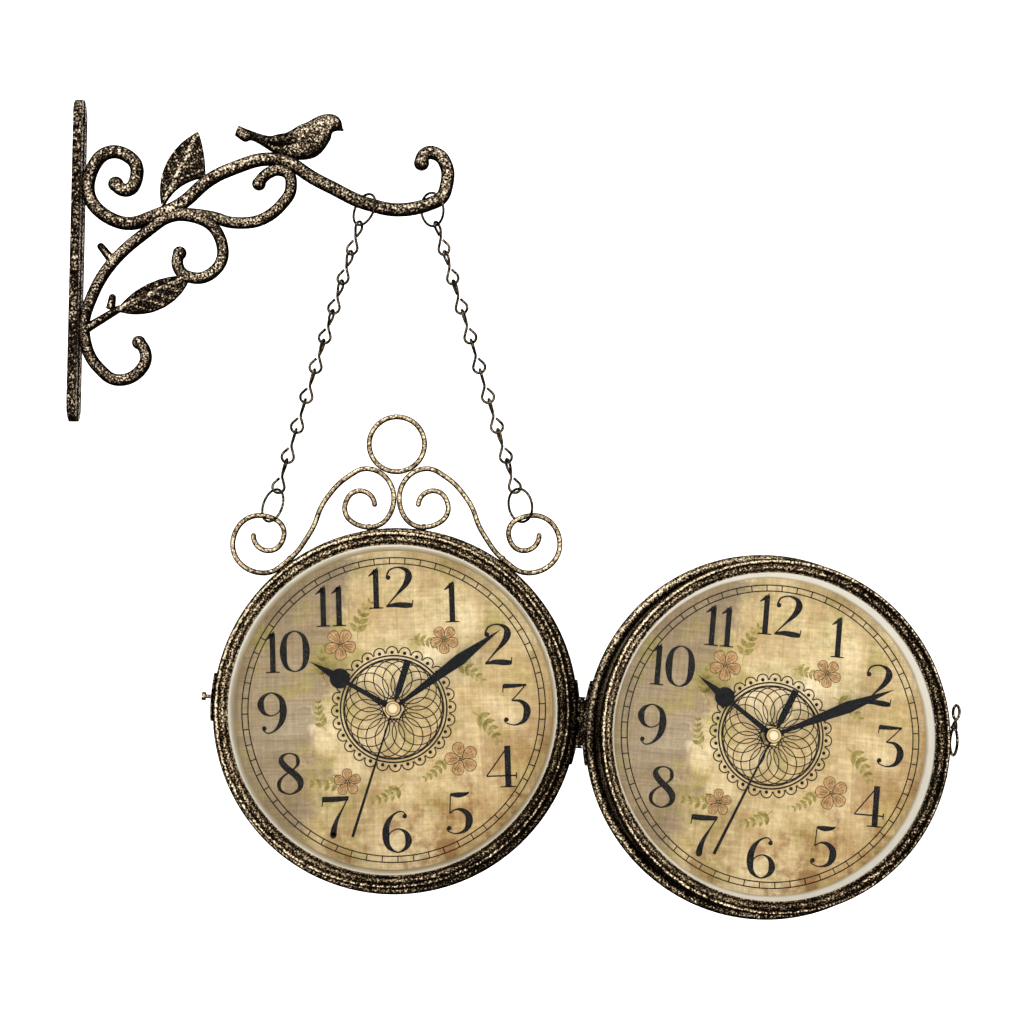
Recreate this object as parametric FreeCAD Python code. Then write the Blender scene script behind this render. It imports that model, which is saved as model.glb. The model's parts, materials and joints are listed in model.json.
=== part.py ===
import FreeCAD, Part
import math
import os

os.makedirs("parts", exist_ok=True)

# Double-sided wall clock that hangs from a cast bracket on two chains.
# Millimetres, +Z up, +X out from the wall along the arm, the first dial facing -Y.
# The origin is on the wall, midway between the two screws of the bracket.

# Wall bracket
PLATE_HEIGHT = 202.0
PLATE_WIDTH = 20.0
PLATE_THICKNESS = 5.0
SCREW_SPACING = 172.0
SCREW_HOLE_DIAMETER = 5.2
SCREW_HEAD_DIAMETER = 9.6
ARM_DIAMETER = 8.4
VINE_DIAMETER = 7.4
BRANCH_DIAMETER = 7.4
ROOT_DEPTH = 0.9
TWIG_DIAMETER = 5.8
TWIG_TIP_DIAMETER = 4.6
ROD_KNOB_GROWTH = 0.6
LEAF_THICKNESS = 4.4
LEAF_RIB_DIAMETER = 6.0
LEAF_VEIN_DIAMETER = 5.2
BIRD_LENGTH = 66.0
BIRD_WIDTH = 15.0

# Rings and chains
CLOCK_REACH = 200.5
CLOCK_DROP = 276.4
HANG_HALF_SPACING = 19.9
HANG_HEIGHT = 35.3
ARM_SAG = 4.0
RING_OUTER_DIAMETER = 22.0
RING_WIRE_DIAMETER = 1.6
CHAIN_WIRE_DIAMETER = 1.7
LINK_WIDTH = 9.0
LINK_COUNT = 9
LINK_END_SETBACK = 1.9
LINK_WAIST_BEND = 2.5
HANG_PLAY = 0.4
ARM_RING_PLAY = 1.3
RING_TURN_DEG = 48.0
LINK_TURN_DEG = 65.0
LINK_TWIST_DEG = 5.0

# Crest of bent rod on the first case
CREST_ROD_DIAMETER = 3.2
CREST_HEIGHT = 36.0
CREST_RING_DIAMETER = 37.0
WELD_DIAMETER = 4.2
WELD_GAP = 0.06

# Case shell, bezel, glass, spacer and dial
RIM_DIAMETER = 220.0
RIM_BEAD_DIAMETER = 6.8
RIM_LAP = 0.4
SHEET = 1.0
SEAM_HALF_GAP = 0.15
BEZEL_BAND = 6.6
BEZEL_BEAD_DIAMETER = 3.0
BEZEL_SKIRT = 7.0
BEZEL_SLOPE = 6.0
GLASS_THICKNESS = 2.0
HAND_ROOM = 9.5
SPACER_WALL = 1.6
SPACER_TAPER = 2.6
PAPER_THICKNESS = 0.3
BOARD_THICKNESS = 2.6
SLIP_FIT = 0.1
TAB_COUNT = 4
TAB_WIDTH = 9.0
TAB_LENGTH = 10.0
TAB_THICKNESS = 0.8

# Quartz movement
MOVEMENT_SIZE = 56.0
MOVEMENT_DEPTH = 15.4
MOVEMENT_CORNER = 4.0
MOVEMENT_BACK_ROOM = 2.55
BUSH_DIAMETER = 8.0
BUSH_PROUD = 3.6
NUT_ACROSS_FLATS = 11.0
NUT_THICKNESS = 2.0
HOUR_PIPE_DIAMETER = 5.2
MINUTE_PIPE_DIAMETER = 3.6
SECOND_ROD_DIAMETER = 1.5
RUNNING_FIT = 0.05
PIPE_ENTRY = 6.0
CELL_DIAMETER = 14.2
CELL_LENGTH = 49.0
CELL_NUB_DIAMETER = 5.2
CELL_NUB = 1.4
CELL_PLAY = 0.2
CELL_DROP = 16.0
CONTACT_THICKNESS = 0.5
KNOB_DIAMETER = 12.0
KNOB_PROUD = 1.9
KNOB_STEM_DIAMETER = 3.0
KNOB_STEM_LENGTH = 6.0
KNOB_RISE = 13.0
KNOB_GRIP_DIAMETER = 1.2
KNOB_GRIP_COUNT = 12

# Hands and cap
HAND_THICKNESS = 0.5
HAND_STEP = 1.5
HAND_HUB_DIAMETER = 9.6
HAND_COLLAR = 0.7
HOUR_SHORT = 40.0
HOUR_WIDTH = 3.6
HOUR_BULB_DIAMETER = 12.0
MINUTE_SHORT = 17.5
MINUTE_WIDTH = 7.2
MINUTE_NECK_WIDTH = 2.4
SECOND_SHORT = 18.5
SECOND_WIDTH = 1.1
SECOND_TAIL = 30.0
SECOND_TAIL_WIDTH = 4.0
CAP_DIAMETER = 8.4
CAP_HEIGHT = 1.2
CAP_RIM_DIAMETER = 0.8
FIRST_HAND_ANGLES_DEG = (299.3, 53.6, 197.0)
SECOND_HAND_ANGLES_DEG = (300.8, 61.7, 199.5)

# Hinge between the cases, turned off level with the latch opposite
HINGE_TURN_DEG = 4.0
OPEN_SHORT_DEG = 5.0
HINGE_OFFSET = 2.1
KNUCKLE_DIAMETER = 5.4
KNUCKLE_LENGTH = 28.0
KNUCKLE_COUNT = 3
KNUCKLE_END_PLAY = 0.3
PIN_DIAMETER = 2.4
PIN_HEAD_DIAMETER = 3.6
PIN_HEAD = 1.2
LEAF_STRIP = 51.0
STRIP_THICKNESS = 1.1
STRIP_WIDTH = 6.0
PART_GAP = 0.4

# Latch opposite the hinge
LATCH_STRIP = 29.0
STUD_NECK_DIAMETER = 2.4
STUD_HEAD_DIAMETER = 5.0
STUD_HEAD = 2.2
STUD_NECK = 3.4
LATCH_ARM_THICKNESS = 1.6
LATCH_ARM_WIDTH = 4.6
LATCH_ARM_TAIL = 18.0
LATCH_LOOP_RISE = 9.5
LATCH_LOOP_DIAMETER = 9.0
LATCH_LOOP_HOLE = 5.0
PIVOT_DIAMETER = 2.4
PIVOT_HEAD_DIAMETER = 4.6
PIVOT_HEAD = 1.2

# Outline places, as shares of CLOCK_REACH along X and of PLATE_HEIGHT along Z
ARM_CURL_SHARES = ((0.127, 0.236), (0.150, 0.218), (0.192, 0.276), (0.135, 0.336))
ARM_ROOT_SHARE = 0.236
ARM_RISE_SHARES = ((0.140, 0.117), (0.279, 0.148), (0.466, 0.276), (0.614, 0.314), (0.772, 0.236))
ARM_SHOULDER_SHARE = 1.3
ARM_TIP_SHARES = ((1.150, 0.240), (1.150, 0.285), (1.118, 0.330), (1.090, 0.334), (1.071, 0.302))
VINE_CURL_SHARES = ((0.208, -0.257), (0.230, -0.295), (0.199, -0.357), (0.149, -0.373), (0.078, -0.326))
VINE_ROOT_SHARE = -0.226
VINE_RISE_SHARES = ((0.072, -0.089), (0.192, 0.060), (0.339, 0.138), (0.443, 0.084), (0.443, -0.028),
                    (0.380, -0.058), (0.326, -0.028), (0.328, 0.020))
BRANCH_SHARES = ((0.281, 0.143), (0.421, 0.134), (0.492, 0.115), (0.579, 0.125), (0.637, 0.168),
                 (0.668, 0.221), (0.656, 0.271), (0.631, 0.280), (0.594, 0.268), (0.569, 0.237))
UPPER_LEAF_SHARES = ((0.272, 0.160), (0.268, 0.250), (0.380, 0.398), (0.396, 0.335), (0.402, 0.258),
                     (0.330, 0.232))
LOWER_LEAF_SHARES = ((0.138, -0.159), (0.233, -0.078), (0.362, -0.052), (0.283, -0.146))
TWIG_SHARES = (((0.046, -0.214), (0.145, -0.153)), ((0.119, -0.153), (0.124, -0.118)),
               ((0.120, -0.002), (0.085, 0.041)))
# Bird: its perch among the arm's points, then its tail from there and its sections from tail to head, each a
# centre and a half height, as shares of BIRD_LENGTH
BIRD_PERCH = 3
BIRD_TAIL_SHARES = (-0.349, 0.279)
BIRD_SECTION_SHARES = ((0.000, 0.000, 0.052), (0.140, -0.055, 0.047), (0.270, -0.105, 0.058),
                       (0.400, -0.140, 0.100), (0.545, -0.138, 0.148), (0.670, -0.100, 0.170),
                       (0.765, -0.022, 0.142), (0.845, 0.045, 0.114), (0.915, 0.058, 0.086),
                       (0.965, 0.026, 0.040), (1.000, -0.002, 0.012))
BIRD_WING_SHARES = (0.500, -0.112, 0.225, 0.080)
BIRD_WING_SPREAD_SHARE = 0.55
# Crest rod from the outer curl's end inwards: degrees from the top, rise as a share of CREST_HEIGHT
CREST_ROD_SHARES = ((39.5, 0.690), (38.2, 0.300), (32.9, 0.390), (35.6, 0.915), (44.9, 0.810), (44.0, 0.085),
                    (35.2, 0.000), (26.1, 0.210), (18.9, 0.625), (12.6, 0.890), (7.3, 0.995))
CREST_CURL_SHARES = ((8.6, 0.000), (14.2, 0.450), (10.6, 0.640), (6.1, 0.375))
CREST_MID_SHARE = 0.490
CURL_EDGE_COUNT = 10

# Fixed ratios of small features
BEZEL_BAND_SHARES = (0.28, 0.62)
HOUR_BULB_SHARE = 0.64
HOUR_NECK_SHARE = 0.62
HOUR_TIP_SHARE = 0.42
MINUTE_WIDEST_SHARE = 0.615
SECOND_POINT_SHARE = 0.55
TAIL_NECK_SHARE = 0.38
VEIN_COUNT = 4
VEIN_LEAN_DEG = 42.0
VEIN_REACH_SHARE = 0.42

# Worked-out places
RIM_RADIUS = RIM_DIAMETER / 2
BEAD_RADIUS = RIM_BEAD_DIAMETER / 2
BEAD_Y = -(SEAM_HALF_GAP + BEAD_RADIUS)
BARREL_RADIUS = RIM_RADIUS - RIM_BEAD_DIAMETER + RIM_LAP
BARREL_INSIDE = BARREL_RADIUS - SHEET
OPENING_RADIUS = BARREL_RADIUS - BEZEL_BAND
DIAL_STACK = HAND_ROOM + PAPER_THICKNESS + BOARD_THICKNESS + SLIP_FIT / 2
CASE_DEPTH = (BEZEL_SLOPE + BEZEL_BEAD_DIAMETER / 2 + SLIP_FIT + GLASS_THICKNESS + DIAL_STACK + MOVEMENT_DEPTH
              + MOVEMENT_BACK_ROOM)
LIP_Y = -CASE_DEPTH + BEZEL_SLOPE + BEZEL_BEAD_DIAMETER / 2
GLASS_BACK_Y = LIP_Y + SLIP_FIT + GLASS_THICKNESS
DIAL_Y = GLASS_BACK_Y + HAND_ROOM
BOARD_Y = DIAL_Y + PAPER_THICKNESS
MOVEMENT_Y = BOARD_Y + BOARD_THICKNESS + SLIP_FIT / 2
HOUR_LENGTH = OPENING_RADIUS - HOUR_SHORT
HOUR_BULB_REACH = HOUR_LENGTH * HOUR_BULB_SHARE
MINUTE_LENGTH = OPENING_RADIUS - MINUTE_SHORT
SECOND_LENGTH = OPENING_RADIUS - SECOND_SHORT
CASE_ORIGIN = FreeCAD.Vector(CLOCK_REACH, -BEAD_Y, -CLOCK_DROP)
HINGE_RADIUS = RIM_RADIUS + HINGE_OFFSET
STRIP_RADIUS = RIM_RADIUS + WELD_GAP
STRIP_FACE = STRIP_RADIUS + STRIP_THICKNESS
ORIGIN = FreeCAD.Vector(0, 0, 0)
X_AXIS = FreeCAD.Vector(1, 0, 0)
Y_AXIS = FreeCAD.Vector(0, 1, 0)
Z_AXIS = FreeCAD.Vector(0, 0, 1)


def upright(x, z):
    """Point in the bracket's own plane."""
    return FreeCAD.Vector(x, 0, z)


def bracket_point(shares):
    """Point given as shares of the arm's reach and the plate's height."""
    return upright(shares[0] * CLOCK_REACH, shares[1] * PLATE_HEIGHT)


def round_bar(radius, start, direction, length):
    """Plain cylinder from a start point along a direction."""
    return Part.makeCylinder(radius, length, start, direction)


def tube(outside, inside, start_y, end_y):
    """Tube on the dial axis between two depths."""
    body = round_bar(outside, FreeCAD.Vector(0, start_y, 0), Y_AXIS, end_y - start_y)
    return body.cut(round_bar(inside, FreeCAD.Vector(0, start_y, 0), Y_AXIS, end_y - start_y))


def spun(profile):
    """Ring turned about the dial axis from (radius, depth) points."""
    points = [FreeCAD.Vector(r, y, 0) for r, y in profile]
    outline = Part.makePolygon(points + points[:1])
    return Part.Face(outline).revolve(ORIGIN, Y_AXIS, 360)


def bend(start, heading, end):
    """Arc, or a line where there is no bend, that leaves start along heading and reaches end."""
    chord = end - start
    side = heading - chord * (heading.dot(chord) / chord.dot(chord))
    if side.Length < 1e-6:
        return Part.makeLine(start, end)
    half_angle = heading.getAngle(chord) / 2
    middle = (start + end) / 2 + side.normalize() * (chord.Length / 2 * math.tan(half_angle))
    return Part.Arc(start, middle, end).toShape()


def headings(points):
    """Direction of the smooth line through each of the points."""
    result = []
    for before, here, after in zip(points, points[1:], points[2:]):
        first = here - before
        second = after - here
        along = first * (second.Length / first.Length) + second * (first.Length / second.Length)
        result.append(along.normalize())
    start = (points[1] - points[0]).normalize()
    end = (points[-1] - points[-2]).normalize()
    first = start * (2 * start.dot(result[0])) - result[0]
    last = end * (2 * end.dot(result[-1])) - result[-1]
    return [first] + result + [last]


def smooth_line(points):
    """Wire of tangent arcs through the points, two arcs to a span."""
    edges = []
    along = headings(points)
    for here, there, leaving, arriving in zip(points, points[1:], along, along[1:]):
        chord = there - here
        both = leaving + arriving
        spread = 2 * (1 - leaving.dot(arriving))
        reach = chord.dot(both)
        if spread < 1e-6:
            handle = chord.dot(chord) / (2 * reach)
        else:
            handle = (math.sqrt(reach * reach + spread * chord.dot(chord)) - reach) / spread
        joint = (here + there + (leaving - arriving) * handle) / 2
        edges.append(bend(here, leaving, joint))
        turned = (joint - here).normalize()
        edges.append(bend(joint, turned * (2 * turned.dot(leaving)) - leaving, there))
    return Part.Wire(edges)


def piped(wire, diameter):
    """Round rod along a wire."""
    first = wire.OrderedEdges[0]
    start = first.valueAt(first.FirstParameter)
    leaving = first.tangentAt(first.FirstParameter)
    if first.Orientation == "Reversed":
        start = first.valueAt(first.LastParameter)
        leaving = first.tangentAt(first.LastParameter) * -1
    section = Part.Wire(Part.makeCircle(diameter / 2, start, leaving))
    return wire.makePipeShell([section], True, False)


def rod(points, diameter, knob):
    """Bent rod with rounded, slightly swollen ends."""
    ends = [Part.makeSphere(diameter / 2 + knob, point) for point in (points[0], points[-1])]
    return piped(smooth_line(points), diameter).multiFuse(ends)


def save(shape, name):
    """Writes one piece under its own name."""
    shape.exportStep("parts/" + name + ".step")


# Wall bracket

def hang_point(side):
    """Middle of the arm under one of the two rings."""
    return upright(CLOCK_REACH + side * HANG_HALF_SPACING, HANG_HEIGHT)


def arm_seat():
    """Dip of the arm that the rings hang in: the two hang points, the low point and a shoulder on one arc."""
    low = HANG_HEIGHT - ARM_SAG
    bend_radius = (HANG_HALF_SPACING * HANG_HALF_SPACING + ARM_SAG * ARM_SAG) / (2 * ARM_SAG)
    across = ARM_SHOULDER_SHARE * HANG_HALF_SPACING
    rise = bend_radius - math.sqrt(bend_radius * bend_radius - across * across)
    shoulder = upright(CLOCK_REACH + across, low + rise)
    return [hang_point(-1), upright(CLOCK_REACH, low), hang_point(1), shoulder]


def wall_plate():
    """Flat bar with rounded ends and two countersunk screw holes."""
    half_width = PLATE_WIDTH / 2
    straight = PLATE_HEIGHT - PLATE_WIDTH
    bar = Part.makeBox(PLATE_THICKNESS, PLATE_WIDTH, straight, FreeCAD.Vector(0, -half_width, -straight / 2))
    ends = [round_bar(half_width, upright(0, side * straight / 2), X_AXIS, PLATE_THICKNESS)
            for side in (-1, 1)]
    plate = bar.multiFuse(ends)
    sink = (SCREW_HEAD_DIAMETER - SCREW_HOLE_DIAMETER) / 2
    for side in (-1, 1):
        height = side * SCREW_SPACING / 2
        plate = plate.cut(round_bar(SCREW_HOLE_DIAMETER / 2, upright(0, height), X_AXIS, PLATE_THICKNESS))
        cone = Part.makeCone(SCREW_HOLE_DIAMETER / 2, SCREW_HEAD_DIAMETER / 2, sink,
                             upright(PLATE_THICKNESS - sink, height), X_AXIS)
        plate = plate.cut(cone)
    return plate


def leaf(outline, base, tip):
    """Leaf blade from its outline wire, with a midrib and side veins standing proud of both faces."""
    blade = Part.Face(outline).extrude(FreeCAD.Vector(0, LEAF_THICKNESS, 0))
    blade.translate(FreeCAD.Vector(0, -LEAF_THICKNESS / 2, 0))
    along = (tip - base).normalize()
    length = (tip - base).Length
    across = along.cross(Y_AXIS)
    ribs = [round_bar(LEAF_RIB_DIAMETER / 2, base, along, length)]
    lean = math.radians(VEIN_LEAN_DEG)
    for index in range(VEIN_COUNT):
        root = base + along * (length * (index + 1) / (VEIN_COUNT + 2))
        for side in (-1, 1):
            way = along * math.cos(lean) + across * (side * math.sin(lean))
            ribs.append(round_bar(LEAF_VEIN_DIAMETER / 2, root, way, length * VEIN_REACH_SHARE))
    reach = Part.Face(outline).extrude(FreeCAD.Vector(0, LEAF_RIB_DIAMETER, 0))
    reach.translate(FreeCAD.Vector(0, -LEAF_RIB_DIAMETER / 2, 0))
    return blade.fuse(reach.common(ribs[0].multiFuse(ribs[1:])))


def upper_leaf():
    """Leaf that stands on the arm, arched clear of it underneath."""
    base, bulge, tip, edge, foot, arch = [bracket_point(shares) for shares in UPPER_LEAF_SHARES]
    outline = Part.Wire([Part.Arc(base, bulge, tip).toShape(), Part.Arc(tip, edge, foot).toShape(),
                         Part.Arc(foot, arch, base).toShape()])
    return leaf(outline, base, tip)


def lower_leaf():
    """Leaf that hangs from the curl of the vine."""
    base, over, tip, under = [bracket_point(shares) for shares in LOWER_LEAF_SHARES]
    outline = Part.Wire([Part.Arc(base, over, tip).toShape(), Part.Arc(tip, under, base).toShape()])
    return leaf(outline, base, tip)


def twig(ends):
    """Short tapered shoot."""
    start, end = [bracket_point(shares) for shares in ends]
    way = end - start
    shoot = Part.makeCone(TWIG_DIAMETER / 2, TWIG_TIP_DIAMETER / 2, way.Length, start, way)
    return shoot.fuse(Part.makeSphere(TWIG_TIP_DIAMETER / 2, end))


def bird():
    """Perched bird: a body lofted from tail to beak, with wings standing proud of its sides."""
    tail = bracket_point(ARM_RISE_SHARES[BIRD_PERCH]) + upright(*BIRD_TAIL_SHARES) * BIRD_LENGTH
    centres = [tail + upright(x, z) * BIRD_LENGTH for x, z, half in BIRD_SECTION_SHARES]
    halves = [half * BIRD_LENGTH for x, z, half in BIRD_SECTION_SHARES]
    sections = [Part.Wire(Part.makeCircle(half, centre, along))
                for half, centre, along in zip(halves, centres, headings(centres))]
    body = Part.makeLoft(sections, True, False)
    x, z, length, height = [share * BIRD_LENGTH for share in BIRD_WING_SHARES]
    wing = Part.makeSphere(1)
    stretch = FreeCAD.Matrix()
    stretch.scale(length, BIRD_WIDTH * BIRD_WING_SPREAD_SHARE, height)
    wing = wing.transformGeometry(stretch)
    wing.translate(tail + upright(x, z))
    flatten = FreeCAD.Matrix()
    flatten.scale(1, BIRD_WIDTH / 2 / max(halves), 1)
    return body.transformGeometry(flatten).fuse(wing)


def root(diameter, height_share):
    """Point of a rod's middle where the rod runs into the face of the plate."""
    return upright(PLATE_THICKNESS + diameter / 2 - ROOT_DEPTH, height_share * PLATE_HEIGHT)


def wall_bracket():
    """The whole casting: plate, arm, vine, branch, leaves, twigs and bird."""
    curl = [bracket_point(shares) for shares in ARM_CURL_SHARES]
    rise = [bracket_point(shares) for shares in ARM_RISE_SHARES]
    tip = [bracket_point(shares) for shares in ARM_TIP_SHARES]
    arm = curl + [root(ARM_DIAMETER, ARM_ROOT_SHARE)] + rise + arm_seat() + tip
    low_curl = [bracket_point(shares) for shares in VINE_CURL_SHARES]
    low_rise = [bracket_point(shares) for shares in VINE_RISE_SHARES]
    vine = low_curl + [root(VINE_DIAMETER, VINE_ROOT_SHARE)] + low_rise
    branch = [bracket_point(shares) for shares in BRANCH_SHARES]
    pieces = [rod(arm, ARM_DIAMETER, ROD_KNOB_GROWTH), rod(vine, VINE_DIAMETER, ROD_KNOB_GROWTH),
              rod(branch, BRANCH_DIAMETER, ROD_KNOB_GROWTH)]
    pieces += [upper_leaf(), lower_leaf(), bird()]
    pieces += [twig(ends) for ends in TWIG_SHARES]
    return wall_plate().multiFuse(pieces)


# Crest

def crest_point(degrees, rise_share):
    """Point of the crest rod's middle, given by its turn from the top and its rise off the rim."""
    radius = RIM_RADIUS + CREST_ROD_DIAMETER / 2 + rise_share * CREST_HEIGHT
    turn = math.radians(degrees)
    return upright(radius * math.sin(turn), radius * math.cos(turn))


def crest_rod_points():
    """Middle line of one scroll, from its outer end to its inner end, about the middle of the case."""
    outer = [crest_point(*shares) for shares in CREST_ROD_SHARES]
    inner = [crest_point(*shares) for shares in CREST_CURL_SHARES]
    middle = crest_point(0, CREST_MID_SHARE) + X_AXIS * (CREST_ROD_DIAMETER / 2 + WELD_GAP)
    return outer + [middle] + inner


def rim_bead(growth):
    """Rolled rear rim of a case, grown for cuts that seat on it."""
    middle = FreeCAD.Vector(0, BEAD_Y, 0)
    return Part.makeTorus(RIM_RADIUS - BEAD_RADIUS, BEAD_RADIUS + growth, middle, Y_AXIS)


def in_crest_plane(shape):
    """Shape moved from the plane of the case's middle to the middle of its rear rim."""
    moved = shape.copy()
    moved.translate(FreeCAD.Vector(0, BEAD_Y, 0))
    return moved


def crest_scroll():
    """One scroll with weld beads, seated on the rim and against the middle line."""
    points = crest_rod_points()
    welds = [Part.makeSphere(WELD_DIAMETER / 2, crest_point(degrees, 0))
             for degrees in (CREST_ROD_SHARES[6][0], CREST_CURL_SHARES[0][0])]
    scroll = in_crest_plane(rod(points, CREST_ROD_DIAMETER, 0).multiFuse(welds))
    room = Part.makeBox(RIM_RADIUS, RIM_RADIUS, RIM_DIAMETER,
                        FreeCAD.Vector(WELD_GAP / 2, -RIM_RADIUS / 2, RIM_RADIUS / 2))
    return scroll.common(room).cut(rim_bead(WELD_GAP))


def crest_ring():
    """Top ring, set down on the two scrolls until it meets their welds."""
    mean = (CREST_RING_DIAMETER - CREST_ROD_DIAMETER) / 2
    line = smooth_line(crest_rod_points())
    low = max(point.z for point in crest_rod_points())
    high = low + CREST_RING_DIAMETER
    while high - low > WELD_GAP / 4:
        height = (low + high) / 2
        if line.distToShape(Part.Vertex(upright(0, height)))[0] < mean + CREST_ROD_DIAMETER + WELD_GAP:
            low = height
        else:
            high = height
    return in_crest_plane(Part.makeTorus(mean, CREST_ROD_DIAMETER / 2, upright(0, high), Y_AXIS))


def mirrored(shape):
    """Shape on the other side of the middle line."""
    return shape.mirror(ORIGIN, X_AXIS)


# Rings and chains of the first side, in the plane of the crest

def curl_point():
    """Middle of the crest rod where a bottom ring settles on the outer curl: the point nearest its hang point."""
    curl = Part.Wire(smooth_line(crest_rod_points()).OrderedEdges[:CURL_EDGE_COUNT])
    hang = hang_point(-1) - CASE_ORIGIN
    where = curl.distToShape(Part.Vertex(upright(-hang.x, hang.z)))[1][0][0]
    return CASE_ORIGIN + FreeCAD.Vector(-where.x, BEAD_Y, where.z)


def pull():
    """Unit line of one chain, from the arm down to the crest."""
    return (curl_point() - hang_point(-1)).normalize()


def ring_inside():
    return RING_OUTER_DIAMETER / 2 - RING_WIRE_DIAMETER


def ring_mean():
    return (RING_OUTER_DIAMETER - RING_WIRE_DIAMETER) / 2


def split_ring(centre):
    """Wire ring that holds the chain's line in its plane and is turned about that line."""
    turn = math.radians(RING_TURN_DEG)
    normal = Y_AXIS * math.cos(turn) + pull().cross(Y_AXIS) * math.sin(turn)
    return Part.makeTorus(ring_mean(), RING_WIRE_DIAMETER / 2, centre, normal)


def arm_ring_centre():
    return hang_point(-1) + pull() * (ring_inside() - ARM_DIAMETER / 2 - ARM_RING_PLAY)


def crest_ring_centre():
    return curl_point() - pull() * (ring_inside() - CREST_ROD_DIAMETER / 2 - HANG_PLAY)


def link_loop(length, side, flat):
    """Points of one teardrop loop: its free end, its two tangent points, its crown and its foot."""
    radius = (LINK_WIDTH - CHAIN_WIRE_DIAMETER) / 2
    crown = length / 2
    middle = crown - radius
    slope = math.asin(radius / middle)
    touch = middle * math.cos(slope)
    right = flat * (touch * math.sin(slope)) + Z_AXIS * (side * touch * math.cos(slope))
    left = flat * (-touch * math.sin(slope)) + Z_AXIS * (side * touch * math.cos(slope))
    free = right * (LINK_END_SETBACK / touch)
    foot = left * (LINK_WAIST_BEND * math.tan(slope) / touch)
    return free, right, Z_AXIS * (side * crown), left, foot


def chain_link(length):
    """One figure-eight link of bent wire, its two loops square to each other."""
    free, right, crown, left, foot = link_loop(length, 1, X_AXIS)
    low_free, low_right, low_crown, low_left, low_foot = link_loop(length, -1, Y_AXIS)
    waist = bend(foot, (foot * -1).normalize(), low_foot)
    edges = [Part.makeLine(free, right), Part.Arc(right, crown, left).toShape(), Part.makeLine(left, foot),
             waist, Part.makeLine(low_foot, low_left),
             Part.Arc(low_left, low_crown, low_right).toShape(), Part.makeLine(low_right, low_free)]
    return piped(Part.Wire(edges), CHAIN_WIRE_DIAMETER)


def chain_links():
    """All links of the first chain, each a little turned from the last."""
    top = arm_ring_centre() + pull() * ring_mean()
    bottom = crest_ring_centre() - pull() * ring_mean()
    hook = CHAIN_WIRE_DIAMETER / 2 + RING_WIRE_DIAMETER / 2 + HANG_PLAY
    lap = CHAIN_WIRE_DIAMETER + HANG_PLAY
    length = ((bottom - top).Length + 2 * hook + (LINK_COUNT - 1) * lap) / LINK_COUNT
    link = chain_link(length)
    aim = FreeCAD.Rotation(Z_AXIS, pull() * -1)
    links = []
    for index in range(LINK_COUNT):
        middle = top + pull() * (length / 2 - hook + index * (length - lap))
        spin = FreeCAD.Rotation(Z_AXIS, LINK_TURN_DEG + LINK_TWIST_DEG * index)
        placed = link.copy()
        placed.Placement = FreeCAD.Placement(middle, aim.multiply(spin))
        links.append(placed)
    return Part.makeCompound(links)


def other_side(shape):
    """Shape carried half a turn round the clock's vertical middle line."""
    turned = shape.copy()
    turned.rotate(FreeCAD.Vector(CLOCK_REACH, 0, 0), Z_AXIS, 180)
    return turned


# Case pieces, about the middle of the case on the seam plane, dial facing -Y

def case_shell():
    """Sheet drum, open behind, with a rolled rear rim."""
    front = -CASE_DEPTH + BEZEL_BEAD_DIAMETER
    return tube(BARREL_RADIUS, BARREL_INSIDE, front, BEAD_Y).fuse(rim_bead(0))


def bezel():
    """Spun front ring: skirt over the drum, bead, groove and a dished band down to the glass."""
    skirt = BARREL_RADIUS + RUNNING_FIT
    bead = BEZEL_BEAD_DIAMETER / 2
    front = -CASE_DEPTH
    band = skirt - OPENING_RADIUS
    near, far = BEZEL_BAND_SHARES
    profile = [(skirt, front + BEZEL_SKIRT + bead), (skirt + SHEET, front + BEZEL_SKIRT + bead),
               (skirt + SHEET, front + bead), (skirt - SHEET, front + bead),
               (skirt - near * band, front + bead), (skirt - far * band, front + bead + BEZEL_SLOPE * near),
               (OPENING_RADIUS, LIP_Y - SHEET), (OPENING_RADIUS, LIP_Y), (OPENING_RADIUS + SHEET, LIP_Y),
               (skirt - far * band + SHEET, front + BEZEL_SLOPE * near + bead + SHEET),
               (skirt - SHEET, front + bead + SHEET), (skirt, front + bead + SHEET)]
    edge = Part.makeTorus(skirt + SHEET - bead, bead, FreeCAD.Vector(0, front + bead, 0), Y_AXIS)
    sunk = tube(BARREL_RADIUS + RUNNING_FIT, OPENING_RADIUS, front + 2 * bead, 0)
    return spun(profile).fuse(edge.cut(sunk))


def glass():
    """Flat glass behind the lip of the bezel."""
    front = FreeCAD.Vector(0, LIP_Y + SLIP_FIT, 0)
    return round_bar(BARREL_INSIDE - SLIP_FIT, front, Y_AXIS, GLASS_THICKNESS)


def spacer_ring():
    """Pale ring that keeps the glass off the dial, its wall leaning in towards the dial."""
    outside = BARREL_INSIDE - SLIP_FIT
    front = GLASS_BACK_Y + SLIP_FIT / 2
    back = DIAL_Y - SLIP_FIT / 2
    return spun([(OPENING_RADIUS, front), (outside, front), (outside, front + SPACER_WALL),
                 (OPENING_RADIUS + SPACER_WALL, front + SPACER_WALL),
                 (OPENING_RADIUS - SPACER_TAPER + SPACER_WALL, back), (OPENING_RADIUS - SPACER_TAPER, back)])


def dial_paper():
    """Printed face."""
    return tube(BARREL_INSIDE - SLIP_FIT, BUSH_DIAMETER / 2 + SLIP_FIT, DIAL_Y, BOARD_Y)


def dial_board():
    """Hardboard disc that carries the print and the movement."""
    return tube(BARREL_INSIDE - SLIP_FIT, BUSH_DIAMETER / 2 + SLIP_FIT, BOARD_Y, BOARD_Y + BOARD_THICKNESS)


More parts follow.
